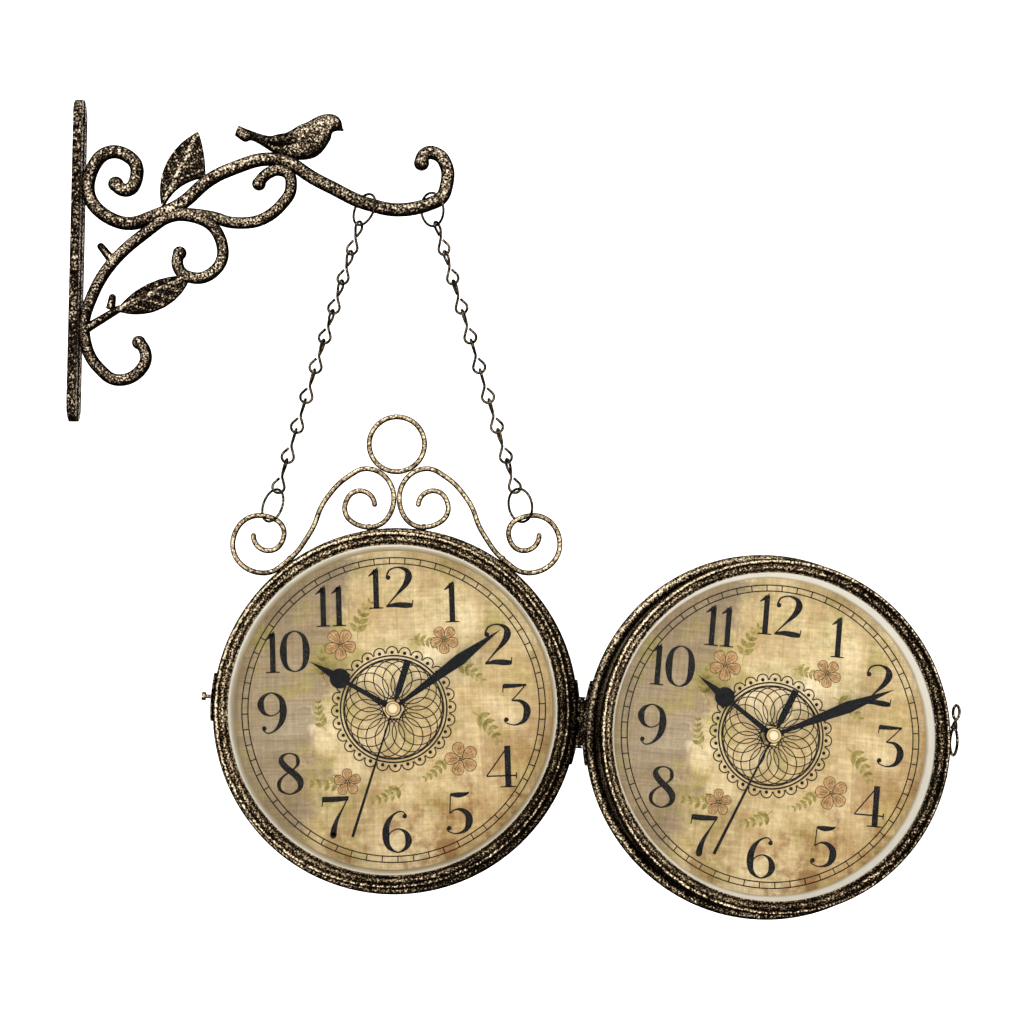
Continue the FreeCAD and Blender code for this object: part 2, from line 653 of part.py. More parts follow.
def dial_tabs():
    """Bent tabs on the drum wall that hold the board in."""
    outside = BARREL_INSIDE - RUNNING_FIT
    behind = BOARD_Y + BOARD_THICKNESS + RUNNING_FIT
    long_leg = spun([(outside - TAB_THICKNESS, behind), (outside, behind), (outside, behind + TAB_LENGTH),
                     (outside - TAB_THICKNESS, behind + TAB_LENGTH)])
    short_leg = spun([(outside - TAB_LENGTH, behind), (outside, behind), (outside, behind + TAB_THICKNESS),
                      (outside - TAB_LENGTH, behind + TAB_THICKNESS)])
    width = Part.makeBox(BARREL_RADIUS, CASE_DEPTH, TAB_WIDTH, FreeCAD.Vector(0, -CASE_DEPTH, -TAB_WIDTH / 2))
    tab = long_leg.fuse(short_leg).common(width)
    tabs = []
    for index in range(TAB_COUNT):
        copy = tab.copy()
        copy.rotate(ORIGIN, Y_AXIS, 360 * (index + 0.5) / TAB_COUNT)
        tabs.append(copy)
    return Part.makeCompound(tabs)


def cell_middle():
    """Middle of the cell in its bay."""
    return FreeCAD.Vector(0, MOVEMENT_Y + MOVEMENT_DEPTH / 2, -CELL_DROP)


def movement_housing():
    """Closed plastic box with a cell bay open behind, a bore for the pipes and one for the setting stem."""
    half = MOVEMENT_SIZE / 2
    box = Part.makeBox(MOVEMENT_SIZE, MOVEMENT_DEPTH, MOVEMENT_SIZE, FreeCAD.Vector(-half, MOVEMENT_Y, -half))
    corners = [edge for edge in box.Edges if abs(edge.tangentAt(edge.FirstParameter).y) > 0.5]
    box = box.makeFillet(MOVEMENT_CORNER, corners)
    bay_radius = CELL_DIAMETER / 2 + CELL_PLAY
    bay_length = CELL_LENGTH + CELL_NUB + 2 * (CONTACT_THICKNESS + CELL_PLAY)
    corner = cell_middle() - FreeCAD.Vector(bay_length / 2, 0, bay_radius)
    bay = Part.makeBox(bay_length, MOVEMENT_DEPTH, 2 * bay_radius, corner)
    bay = bay.fuse(round_bar(bay_radius, cell_middle() - X_AXIS * (bay_length / 2), X_AXIS, bay_length))
    bore = round_bar(BUSH_DIAMETER / 2 + RUNNING_FIT, FreeCAD.Vector(0, MOVEMENT_Y, 0), Y_AXIS, PIPE_ENTRY)
    back = MOVEMENT_Y + MOVEMENT_DEPTH
    stem = round_bar(KNOB_STEM_DIAMETER / 2 + RUNNING_FIT, FreeCAD.Vector(0, back, KNOB_RISE), Y_AXIS * -1,
                     KNOB_STEM_LENGTH + PART_GAP)
    return box.cut(bay).cut(bore).cut(stem)


def movement_bush():
    """Threaded tube through the dial."""
    bore = HOUR_PIPE_DIAMETER / 2 + RUNNING_FIT
    return tube(BUSH_DIAMETER / 2, bore, DIAL_Y - BUSH_PROUD, MOVEMENT_Y + PIPE_ENTRY)


def dial_nut():
    """Hexagon nut that clamps the movement to the dial."""
    start = DIAL_Y - SLIP_FIT / 2 - NUT_THICKNESS
    corner = NUT_ACROSS_FLATS / math.sqrt(3)
    turns = [math.radians(60 * index) for index in range(7)]
    corners = [FreeCAD.Vector(corner * math.cos(turn), start, corner * math.sin(turn)) for turn in turns]
    nut = Part.Face(Part.makePolygon(corners)).extrude(FreeCAD.Vector(0, NUT_THICKNESS, 0))
    thread = BUSH_DIAMETER / 2 + RUNNING_FIT
    return nut.cut(round_bar(thread, FreeCAD.Vector(0, start, 0), Y_AXIS, NUT_THICKNESS))


def cell():
    """Round battery cell with its contact nub."""
    start = cell_middle() - X_AXIS * ((CELL_LENGTH + CELL_NUB) / 2)
    body = round_bar(CELL_DIAMETER / 2, start, X_AXIS, CELL_LENGTH)
    return body.fuse(round_bar(CELL_NUB_DIAMETER / 2, start + X_AXIS * CELL_LENGTH, X_AXIS, CELL_NUB))


def cell_contacts():
    """Metal plates at both ends of the bay."""
    size = CELL_DIAMETER / 2
    reach = (CELL_LENGTH + CELL_NUB) / 2 + CELL_PLAY / 2
    plates = []
    for start in (-reach - CONTACT_THICKNESS, reach):
        corner = cell_middle() + FreeCAD.Vector(start, -size / 2, -size / 2)
        plates.append(Part.makeBox(CONTACT_THICKNESS, size, size, corner))
    return Part.makeCompound(plates)


def setting_knob():
    """Grooved thumb knob on a stem."""
    face = MOVEMENT_Y + MOVEMENT_DEPTH + RUNNING_FIT
    centre = FreeCAD.Vector(0, face, KNOB_RISE)
    knob = round_bar(KNOB_DIAMETER / 2, centre, Y_AXIS, KNOB_PROUD)
    for index in range(KNOB_GRIP_COUNT):
        turn = 2 * math.pi * index / KNOB_GRIP_COUNT
        place = centre + FreeCAD.Vector(math.cos(turn), 0, math.sin(turn)) * (KNOB_DIAMETER / 2)
        knob = knob.cut(round_bar(KNOB_GRIP_DIAMETER / 2, place, Y_AXIS, KNOB_PROUD))
    return knob.fuse(round_bar(KNOB_STEM_DIAMETER / 2, centre, Y_AXIS * -1, KNOB_STEM_LENGTH))


# Hands, drawn pointing up and then turned

def hand_depth(level):
    """Front face of a hand: level 1 is the hour hand, 2 the minute hand, 3 the second hand."""
    return DIAL_Y - BUSH_PROUD - HAND_COLLAR - RUNNING_FIT * 2 - (level - 1) * HAND_STEP - HAND_THICKNESS


def hand_plate(points, level):
    """Flat hand from half-outline points, given as (half width, reach) from its lower end to its tip."""
    front = hand_depth(level)
    right = [FreeCAD.Vector(x, front, z) for x, z in points]
    left = [FreeCAD.Vector(-x, front, z) for x, z in reversed(points) if x > 0]
    outline = right + left
    face = Part.Face(Part.makePolygon(outline + outline[:1]))
    return face.extrude(FreeCAD.Vector(0, HAND_THICKNESS, 0))


def hub(level, hole):
    """Round boss of a hand with a collar behind it."""
    front = hand_depth(level)
    collar_radius = (HAND_HUB_DIAMETER + hole) / 4
    disc = tube(HAND_HUB_DIAMETER / 2, hole / 2 + RUNNING_FIT / 2, front, front + HAND_THICKNESS)
    return disc, tube(collar_radius, hole / 2 + RUNNING_FIT / 2, front, front + HAND_THICKNESS + HAND_COLLAR)


def drilled(shape, level, hole):
    """Hand with its arbor hole and collar."""
    disc, collar = hub(level, hole)
    front = FreeCAD.Vector(0, hand_depth(level), 0)
    bore = round_bar(hole / 2 + RUNNING_FIT / 2, front, Y_AXIS, HAND_THICKNESS)
    return shape.fuse(disc).cut(bore).fuse(collar)


def turned(shape, degrees):
    """Shape turned clockwise as the dial is read."""
    copy = shape.copy()
    copy.rotate(ORIGIN, Y_AXIS, degrees)
    return copy


def hour_hand():
    """Hour hand with a round bulb and a pointed tip."""
    half = HOUR_WIDTH / 2
    bulb = HOUR_BULB_DIAMETER / 2
    point = hand_plate([(half, 0), (half * HOUR_NECK_SHARE, HOUR_BULB_REACH), (bulb * HOUR_TIP_SHARE,
                       HOUR_BULB_REACH + bulb * HOUR_NECK_SHARE), (0, HOUR_LENGTH)], 1)
    centre = FreeCAD.Vector(0, hand_depth(1), HOUR_BULB_REACH)
    return drilled(point.fuse(round_bar(bulb, centre, Y_AXIS, HAND_THICKNESS)), 1, HOUR_PIPE_DIAMETER)


def minute_hand():
    """Lance-shaped minute hand."""
    neck = MINUTE_NECK_WIDTH / 2
    widest = MINUTE_LENGTH * MINUTE_WIDEST_SHARE
    return drilled(hand_plate([(neck, 0), (neck, HAND_HUB_DIAMETER), (MINUTE_WIDTH / 2, widest),
                               (0, MINUTE_LENGTH)], 2), 2, MINUTE_PIPE_DIAMETER)


def second_hand():
    """Thin second hand with a broad tail."""
    half = SECOND_WIDTH / 2
    tail = SECOND_TAIL_WIDTH / 2
    neck = SECOND_TAIL * TAIL_NECK_SHARE
    return drilled(hand_plate([(tail, -SECOND_TAIL), (tail, -neck), (half, -HAND_HUB_DIAMETER / 2),
                               (half * SECOND_POINT_SHARE, SECOND_LENGTH), (0, SECOND_LENGTH)], 3), 3,
                   SECOND_ROD_DIAMETER)


def pipe_end():
    """Depth where the pipes of the hands stop, clear of the bottom of their bore."""
    return MOVEMENT_Y + PIPE_ENTRY - PART_GAP


def hour_pipe():
    return tube(HOUR_PIPE_DIAMETER / 2, MINUTE_PIPE_DIAMETER / 2 + RUNNING_FIT, hand_depth(1), pipe_end())


def minute_pipe():
    return tube(MINUTE_PIPE_DIAMETER / 2, SECOND_ROD_DIAMETER / 2 + RUNNING_FIT, hand_depth(2), pipe_end())


def second_arbor():
    """Rod of the second hand, under its round cap."""
    front = hand_depth(3)
    arbor = round_bar(SECOND_ROD_DIAMETER / 2, FreeCAD.Vector(0, front, 0), Y_AXIS, pipe_end() - front)
    face = front - RUNNING_FIT
    cap = round_bar(CAP_DIAMETER / 2, FreeCAD.Vector(0, face - CAP_HEIGHT, 0), Y_AXIS, CAP_HEIGHT)
    shelf = round_bar(CAP_DIAMETER / 2 - CAP_RIM_DIAMETER, FreeCAD.Vector(0, face - CAP_HEIGHT, 0), Y_AXIS,
                      CAP_RIM_DIAMETER / 2)
    link = round_bar(SECOND_ROD_DIAMETER / 2, FreeCAD.Vector(0, face, 0), Y_AXIS, RUNNING_FIT)
    return cap.cut(shelf).fuse(link).fuse(arbor)


# Hinge and latch, drawn level and then turned onto the hinge line

def rim_strip(length, start_y):
    """Curved strip on the outside of the rear rim."""
    band = spun([(STRIP_RADIUS, start_y - STRIP_WIDTH), (STRIP_FACE, start_y - STRIP_WIDTH),
                 (STRIP_FACE, start_y), (STRIP_RADIUS, start_y)])
    width = Part.makeBox(RIM_DIAMETER, RIM_DIAMETER, length, FreeCAD.Vector(0, -RIM_RADIUS, -length / 2))
    return band.common(width)


def knuckle_span(index):
    """Start and length of one knuckle along the pin."""
    pitch = KNUCKLE_LENGTH / KNUCKLE_COUNT
    return -KNUCKLE_LENGTH / 2 + index * pitch, pitch


def hinge_leaf(own):
    """Strip on the rim with its own knuckles, cleared for the other leaf's."""
    start_y = -SEAM_HALF_GAP * 2
    strip = rim_strip(LEAF_STRIP, start_y)
    corner = FreeCAD.Vector(STRIP_RADIUS - STRIP_THICKNESS / 2, start_y - STRIP_WIDTH, -KNUCKLE_LENGTH / 2)
    web = Part.makeBox(STRIP_THICKNESS, STRIP_WIDTH, KNUCKLE_LENGTH, corner)
    leaf_plate = strip.fuse(web).cut(rim_bead(WELD_GAP))
    for index in range(KNUCKLE_COUNT):
        start, pitch = knuckle_span(index)
        axis_point = FreeCAD.Vector(HINGE_RADIUS, 0, start)
        if index % 2 == own:
            trim = KNUCKLE_END_PLAY / 2
            knuckle = round_bar(KNUCKLE_DIAMETER / 2, axis_point + Z_AXIS * trim, Z_AXIS, pitch - 2 * trim)
            leaf_plate = leaf_plate.fuse(knuckle)
        else:
            below = axis_point - Z_AXIS * (KNUCKLE_END_PLAY / 2)
            room = round_bar(KNUCKLE_DIAMETER / 2 + PART_GAP, below, Z_AXIS, pitch + KNUCKLE_END_PLAY)
            leaf_plate = leaf_plate.cut(room)
    bore = round_bar(PIN_DIAMETER / 2 + RUNNING_FIT, FreeCAD.Vector(HINGE_RADIUS, 0, -KNUCKLE_LENGTH), Z_AXIS,
                     2 * KNUCKLE_LENGTH)
    return leaf_plate.cut(bore)


def hinge_pin():
    """Pin with a head at both ends."""
    reach = KNUCKLE_LENGTH / 2 + KNUCKLE_END_PLAY
    pin = round_bar(PIN_DIAMETER / 2, FreeCAD.Vector(HINGE_RADIUS, 0, -reach), Z_AXIS, 2 * reach)
    heads = [round_bar(PIN_HEAD_DIAMETER / 2, FreeCAD.Vector(HINGE_RADIUS, 0, start), Z_AXIS, PIN_HEAD)
             for start in (-reach - PIN_HEAD, reach)]
    return pin.multiFuse(heads)


def latch_strip():
    """Plate on the rim under the stud or the pivot."""
    return rim_strip(LATCH_STRIP, -SEAM_HALF_GAP * 2)


def headed_stud(neck, neck_length, head, head_length):
    """Stud standing off the latch strip."""
    foot = FreeCAD.Vector(STRIP_FACE, BEAD_Y, 0)
    post = round_bar(neck / 2, foot, X_AXIS, neck_length)
    return post.fuse(round_bar(head / 2, foot + X_AXIS * neck_length, X_AXIS, head_length))


def keeper_stud():
    return headed_stud(STUD_NECK_DIAMETER, STUD_NECK, STUD_HEAD_DIAMETER, STUD_HEAD)


def latch_pivot():
    neck = PART_GAP + LATCH_ARM_THICKNESS + RUNNING_FIT
    return headed_stud(PIVOT_DIAMETER, neck, PIVOT_HEAD_DIAMETER, PIVOT_HEAD)


def latch_arm():
    """Flat swing hook: an eye on the pivot, a notch for the stud and a finger loop above."""
    foot = FreeCAD.Vector(STRIP_FACE + PART_GAP, BEAD_Y, 0)
    half = LATCH_ARM_WIDTH / 2
    thick = LATCH_ARM_THICKNESS
    bar = Part.makeBox(thick, LATCH_ARM_WIDTH, LATCH_ARM_TAIL + LATCH_LOOP_RISE - half,
                       foot - FreeCAD.Vector(0, half, LATCH_ARM_TAIL - half))
    eye = round_bar(half + thick / 2, foot, X_AXIS, thick)
    tip = round_bar(half, foot - Z_AXIS * (LATCH_ARM_TAIL - half), X_AXIS, thick)
    loop = round_bar(LATCH_LOOP_DIAMETER / 2, foot + Z_AXIS * LATCH_LOOP_RISE, X_AXIS, thick)
    catch = foot - Z_AXIS * (-2 * BEAD_Y)
    cheek = round_bar(half + thick / 2, catch, X_AXIS, thick)
    notch = round_bar(STUD_NECK_DIAMETER / 2 + PART_GAP, catch, X_AXIS, thick)
    mouth = Part.makeBox(thick, LATCH_ARM_WIDTH, STUD_NECK_DIAMETER + 2 * PART_GAP,
                         catch - Z_AXIS * (STUD_NECK_DIAMETER / 2 + PART_GAP))
    arm = bar.multiFuse([eye, tip, loop, cheek])
    arm = arm.cut(round_bar(PIVOT_DIAMETER / 2 + RUNNING_FIT, foot, X_AXIS, thick))
    arm = arm.cut(round_bar(LATCH_LOOP_HOLE / 2, foot + Z_AXIS * LATCH_LOOP_RISE, X_AXIS, thick))
    return arm.cut(notch).cut(mouth)


# Placing

def hinge_way():
    """Unit line from the middle of the first case to the hinge."""
    turn = math.radians(HINGE_TURN_DEG)
    return FreeCAD.Vector(math.cos(turn), 0, -math.sin(turn))


def hinge_axis():
    """Unit line of the hinge pin, upwards."""
    turn = math.radians(HINGE_TURN_DEG)
    return FreeCAD.Vector(math.sin(turn), 0, math.cos(turn))


def first_place():
    return FreeCAD.Placement(CASE_ORIGIN, FreeCAD.Rotation())


def second_place():
    """Second case as it stands open beside the first."""
    pivot = CASE_ORIGIN + hinge_way() * HINGE_RADIUS
    flat = FreeCAD.Placement(pivot + hinge_way() * HINGE_RADIUS, FreeCAD.Rotation(Y_AXIS, 2 * HINGE_TURN_DEG))
    swing = FreeCAD.Placement(ORIGIN, FreeCAD.Rotation(hinge_axis(), OPEN_SHORT_DEG), pivot)
    return swing.multiply(flat)


def placed(shape, place):
    """Copy of a shape drawn about the case's middle, carried to its place on the clock."""
    copy = shape.copy()
    copy.Placement = place.multiply(copy.Placement)
    return copy


def on_hinge_line(shape, side):
    """Shape drawn on +X, carried to the hinge side (1) or the latch side (-1) of the first case."""
    copy = shape.copy()
    if side < 0:
        copy = copy.mirror(ORIGIN, X_AXIS)
    copy.rotate(ORIGIN, Y_AXIS, HINGE_TURN_DEG)
    return copy


def save_clock(prefix, place, angles):
    """One complete clock: case, glass, dial, movement and hands."""
    pieces = {"case_shell": case_shell(), "bezel": bezel(), "glass": glass(), "spacer_ring": spacer_ring(),
              "dial_paper": dial_paper(), "dial_board": dial_board(), "dial_tabs": dial_tabs(),
              "movement_housing": movement_housing(), "movement_bush": movement_bush(),
              "dial_nut": dial_nut(), "battery": cell(), "battery_contacts": cell_contacts(),
              "setting_knob": setting_knob(),
              "hour_hand": turned(hour_hand(), angles[0]), "hour_pipe": hour_pipe(),
              "minute_hand": turned(minute_hand(), angles[1]), "minute_pipe": minute_pipe(),
              "second_hand": turned(second_hand(), angles[2]), "second_arbor": second_arbor()}
    for name, shape in pieces.items():
        save(placed(shape, place), prefix + "_" + name)


save(wall_bracket(), "wall_bracket")

first_ring = split_ring(arm_ring_centre())
last_ring = split_ring(crest_ring_centre())
links = chain_links()
for name, shape in (("top_ring", first_ring), ("chain_links", links), ("bottom_ring", last_ring)):
    save(shape, "left_" + name)
    save(other_side(shape), "right_" + name)

scroll = crest_scroll()
save(placed(mirrored(scroll), first_place()), "crest_scroll_left")
save(placed(scroll, first_place()), "crest_scroll_right")
save(placed(crest_ring(), first_place()), "crest_ring")

save_clock("first", first_place(), FIRST_HAND_ANGLES_DEG)
save_clock("second", second_place(), SECOND_HAND_ANGLES_DEG)

save(placed(on_hinge_line(hinge_leaf(0), 1), first_place()), "first_hinge_leaf")
save(placed(on_hinge_line(hinge_pin(), 1), first_place()), "hinge_pin")
save(placed(mirrored(on_hinge_line(hinge_leaf(1), 1)), second_place()), "second_hinge_leaf")
save(placed(on_hinge_line(latch_strip(), -1), first_place()), "keeper_plate")
save(placed(on_hinge_line(keeper_stud(), -1), first_place()), "keeper_stud")
save(placed(mirrored(on_hinge_line(latch_strip(), -1)), second_place()), "latch_plate")
save(placed(mirrored(on_hinge_line(latch_pivot(), -1)), second_place()), "latch_pivot")
save(placed(mirrored(on_hinge_line(latch_arm(), -1)), second_place()), "latch_arm")
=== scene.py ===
import json
import math

import bpy
from mathutils import Matrix, Vector


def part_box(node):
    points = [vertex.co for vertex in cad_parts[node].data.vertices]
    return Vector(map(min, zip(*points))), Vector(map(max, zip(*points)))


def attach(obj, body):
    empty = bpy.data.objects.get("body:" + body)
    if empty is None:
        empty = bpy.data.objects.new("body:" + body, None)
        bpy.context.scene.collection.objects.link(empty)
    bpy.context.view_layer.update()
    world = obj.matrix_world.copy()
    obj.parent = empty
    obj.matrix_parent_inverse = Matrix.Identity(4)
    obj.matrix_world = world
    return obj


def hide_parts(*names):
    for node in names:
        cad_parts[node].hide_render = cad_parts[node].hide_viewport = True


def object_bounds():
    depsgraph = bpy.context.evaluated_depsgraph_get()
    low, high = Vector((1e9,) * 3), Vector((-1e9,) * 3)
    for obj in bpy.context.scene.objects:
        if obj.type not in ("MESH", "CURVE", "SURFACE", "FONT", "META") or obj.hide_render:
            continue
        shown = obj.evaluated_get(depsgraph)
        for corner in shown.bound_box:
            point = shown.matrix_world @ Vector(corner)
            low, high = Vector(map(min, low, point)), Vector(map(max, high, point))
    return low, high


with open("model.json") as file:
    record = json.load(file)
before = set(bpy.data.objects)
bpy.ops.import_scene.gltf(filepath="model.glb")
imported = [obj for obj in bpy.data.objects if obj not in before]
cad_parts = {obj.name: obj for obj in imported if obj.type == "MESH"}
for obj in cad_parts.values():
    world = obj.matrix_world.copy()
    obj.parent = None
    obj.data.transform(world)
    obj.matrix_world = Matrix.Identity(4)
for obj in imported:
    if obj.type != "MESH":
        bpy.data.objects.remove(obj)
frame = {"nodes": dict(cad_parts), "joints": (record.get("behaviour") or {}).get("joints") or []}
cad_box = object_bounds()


# Wall bracket: one iron casting of plate, arm, vine, leaves and bird. It is painted almost black, and
# the proud places are rubbed with gold paste by hand, so the skin is speckled like hammered bronze.

def node(tree, kind, inputs=(), **settings):
    """Adds a shader node. An input is given a number or colour, or is joined to another node's output."""
    made = tree.nodes.new("ShaderNode" + kind)
    for key, value in settings.items():
        setattr(made, key, value)
    for key, value in dict(inputs).items():
        if isinstance(value, bpy.types.NodeSocket):
            tree.links.new(value, made.inputs[key])
        else:
            made.inputs[key].default_value = value
    return made


def ramp(tree, factor, stops):
    """Colours along a factor, as (place, colour) stops."""
    made = node(tree, "ValToRGB", {"Fac": factor})
    elements = made.color_ramp.elements
    while len(elements) < len(stops):
        elements.new(0.5)
    for element, (place, colour) in zip(elements, stops):
        element.position = place
        element.color = (*colour, 1)
    return made.outputs["Color"]


def between(tree, value, low, high, to_low, to_high):
    """A value stretched from one range to another."""
    made = node(tree, "MapRange", {"Value": value, "From Min": low, "From Max": high,
                                   "To Min": to_low, "To Max": to_high})
    return made.outputs["Result"]


def sum_of(tree, first, second, operation="ADD"):
    """Two values put together, by adding unless another operation is named."""
    made = node(tree, "Math", {0: first, 1: second}, operation=operation)
    return made.outputs["Value"]


def finish_of(name, **sockets):
    """New material: its node tree and its shader, with the plain sockets set."""
    material = bpy.data.materials.new(name)
    material.use_nodes = True
    shader = material.node_tree.nodes["Principled BSDF"]
    for key, value in sockets.items():
        shader.inputs[key.replace("_", " ").title().replace("Ior", "IOR")].default_value = value
    return material, material.node_tree, shader


def reach_of(tree, where, place):
    """Distance of a point from the axis of a dial."""
    middle = node(tree, "Mapping", {"Vector": where, "Location": place.translation,
                                    "Rotation": place.to_euler()}, vector_type="TEXTURE")
    flat = node(tree, "VectorMath", {0: middle.outputs["Vector"], 1: (1, 0, 1)}, operation="MULTIPLY")
    return node(tree, "VectorMath", {0: flat.outputs["Vector"]}, operation="LENGTH").outputs["Value"]


def lines_along(tree, value, stops):
    """More or less paste or painted light along a length, as (length, amount from 0 to 1) stops."""
    start = stops[0][0]
    span = stops[-1][0] - start
    share = between(tree, value, start, start + span, 0.0, 1.0)
    lines = ramp(tree, share, [((length - start) / span, (amount,) * 3) for length, amount in stops])
    return between(tree, lines, 0.0, 1.0, -0.42, 0.42)


# Directions of painted light: faces turned along the first are painted lighter, and the side of a case
# towards the second is painted lighter.
PAINTED_LIGHT_LEAN = (-0.35, 0, 0.94)
PAINTED_LIGHT_SIDE = (-0.8, 0, 0.6)


def rubbed_metal(name, stops, grain_scale, grain_share, rub_and_facing_light, relief, banks=(), plate=0.0, rings=(),
                 place=None):
    """Dark paint with gold paste left on proud grains. Faces turned to the front and the back get more paste
    and faces turned sideways less, which is partly wear and partly a painted highlight along the middle of
    rods with painted shade at their edges. Faces turned up and a little left are painted lighter and faces
    turned down darker, as light falls. Banks give more or less paste along an axis. Faces across X no farther
    out than the plate's thickness count as front faces too. Rings give paste by radius about a dial's place:
    bright lines on beads and lip, partly paste and partly painted highlight, and painted shade in grooves and
    gaps; with rings, the upper left of the case is also painted lighter and the lower right darker."""
    material, tree, shader = finish_of(name, specular_ior_level=0.0)
    source = node(tree, "TexCoord")
    where = source.outputs["Object"]
    grain = node(tree, "TexNoise", {"Vector": where, "Scale": grain_scale, "Detail": 3, "Roughness": 0.6})
    patch = node(tree, "TexNoise", {"Vector": where, "Scale": grain_scale / 14, "Detail": 3})
    facing = node(tree, "SeparateXYZ", {"Vector": source.outputs["Normal"]})
    front = node(tree, "Math", {0: facing.outputs["Y"]}, operation="ABSOLUTE").outputs["Value"]
    if plate:
        across = node(tree, "Math", {0: facing.outputs["X"]}, operation="ABSOLUTE").outputs["Value"]
        depth = node(tree, "SeparateXYZ", {"Vector": where}).outputs["X"]
        across = sum_of(tree, across, between(tree, depth, plate, plate + 0.0004, 0.8, 0.0), "MULTIPLY")
        front = sum_of(tree, front, across, "MAXIMUM")
    amount = between(tree, grain.outputs["Fac"], 0.34, 0.66, 0.5 - grain_share, 0.5 + grain_share)
    # Painted highlight and shade, partly wear: front and back faces lighter, side faces darker.
    amount = sum_of(tree, amount, between(tree, front, 0.15, 0.95, *rub_and_facing_light))
    # Painted light: faces turned up and a little left lighter, faces turned down darker.
    stroke = node(tree, "VectorMath", {0: source.outputs["Normal"], 1: PAINTED_LIGHT_LEAN},
                  operation="DOT_PRODUCT")
    amount = sum_of(tree, amount, between(tree, stroke.outputs["Value"], -1.0, 1.0, -0.15, 0.15))
    amount = sum_of(tree, amount, between(tree, patch.outputs["Fac"], 0.3, 0.7, -0.10, 0.10))
    for axis, lengths in banks:
        along = node(tree, "SeparateXYZ", {"Vector": where}).outputs[axis]
        along = node(tree, "Math", {0: along}, operation="ABSOLUTE").outputs["Value"]
        amount = sum_of(tree, amount, lines_along(tree, along, lengths))
    if rings:
        # Paste and painted light by radius: bright beads and lip, painted shade in grooves and gaps.
        amount = sum_of(tree, amount, lines_along(tree, reach_of(tree, where, place), rings))
        # Painted light: the upper left of the case lighter, the lower right darker.
        spoke = node(tree, "VectorMath", {0: where, 1: place.translation}, operation="SUBTRACT")
        side = node(tree, "VectorMath", {0: spoke.outputs["Vector"], 1: PAINTED_LIGHT_SIDE},
                    operation="DOT_PRODUCT")
        amount = sum_of(tree, amount, between(tree, side.outputs["Value"], -0.11, 0.11, -0.19, 0.15))
    tree.links.new(ramp(tree, amount, stops), shader.inputs["Base Color"])
    tree.links.new(between(tree, amount, 0.45, 0.80, 0.0, 0.85), shader.inputs["Metallic"])
    tree.links.new(between(tree, amount, 0.3, 0.8, 0.55, 0.34), shader.inputs["Roughness"])
    bump = node(tree, "Bump", {"Height": grain.outputs["Fac"], "Strength": 0.6, "Distance": relief})
    tree.links.new(bump.outputs["Normal"], shader.inputs["Normal"])
    return material


def dress(names, material):
    """Gives CAD nodes a finish and smooth shading with crisp corners."""
    for name in names:
        mesh = frame["nodes"][name].data
        mesh.materials.clear()
        mesh.materials.append(material)
        mesh.shade_smooth()
        mesh.set_sharp_from_angle(angle=math.radians(38))


LEAF_BANKS = ((0.0022, 0.16), (0.0027, 0.52), (0.0060, 0.50), (0.0095, 0.10))
PLATE_THICKNESS = 0.0052
PLATE_BANKS = ((0.0, 0.72), (0.0050, 0.72), (0.0056, 0.50), (0.20, 0.50))
CAST_STOPS = ((0.26, (0.002, 0.0014, 0.001)), (0.44, (0.018, 0.012, 0.008)), (0.60, (0.100, 0.070, 0.044)),
              (0.76, (0.42, 0.320, 0.210)), (0.94, (0.95, 0.82, 0.62)))
# Side faces of rods, vine and leaves get painted shade, so their edges are dark.
cast_bronze = rubbed_metal("cast_bronze", CAST_STOPS, 850, 0.46, (-0.85, 0.02), 0.0007,
                           (("Y", LEAF_BANKS), ("X", PLATE_BANKS)), PLATE_THICKNESS)
dress(["wall_bracket"], cast_bronze)


# Rings and chains: steel wire with dark bronze plating. Each link is one wire bent to a figure eight,
# and the split rings hook the chain to the arm and to the crest.

CHAIN_STOPS = ((0.25, (0.002, 0.0015, 0.001)), (0.50, (0.034, 0.023, 0.014)), (0.78, (0.36, 0.27, 0.17)))
# Side faces of the wire get painted shade.
chain_bronze = rubbed_metal("chain_bronze", CHAIN_STOPS, 1100, 0.36, (-0.52, -0.06), 0.0002)
for side in ("left", "right"):
    dress([side + "_" + part for part in ("top_ring", "chain_links", "bottom_ring")], chain_bronze)


# Crest: soft steel rod bent to scrolls, welded together and to the rim, with a ring on top. It has
# more gold paste than the casting, so it reads as worn brass with dark flecks.

CREST_STOPS = ((0.15, (0.003, 0.002, 0.0015)), (0.40, (0.075, 0.046, 0.023)), (0.62, (0.38, 0.27, 0.145)),
               (0.85, (0.95, 0.80, 0.54)))
# A strong facing range: a painted highlight along the middle of each rod and painted shade at its edges.
crest_gold = rubbed_metal("crest_gold", CREST_STOPS, 900, 0.32, (-1.70, 0.12), 0.0002)
dress(["crest_ring", "crest_scroll_left", "crest_scroll_right"], crest_gold)


# Cases and bezels: spun and rolled sheet, painted dark and rubbed with gold like the bracket, with a finer
# grain. Bright lines on beads and edges are partly gold paste and partly painted highlight, with painted
# shade in the grooves and between bezel and rim, and each case is painted lighter on its upper left and
# darker on its lower right. Hinge, keeper and latch have the same paint.

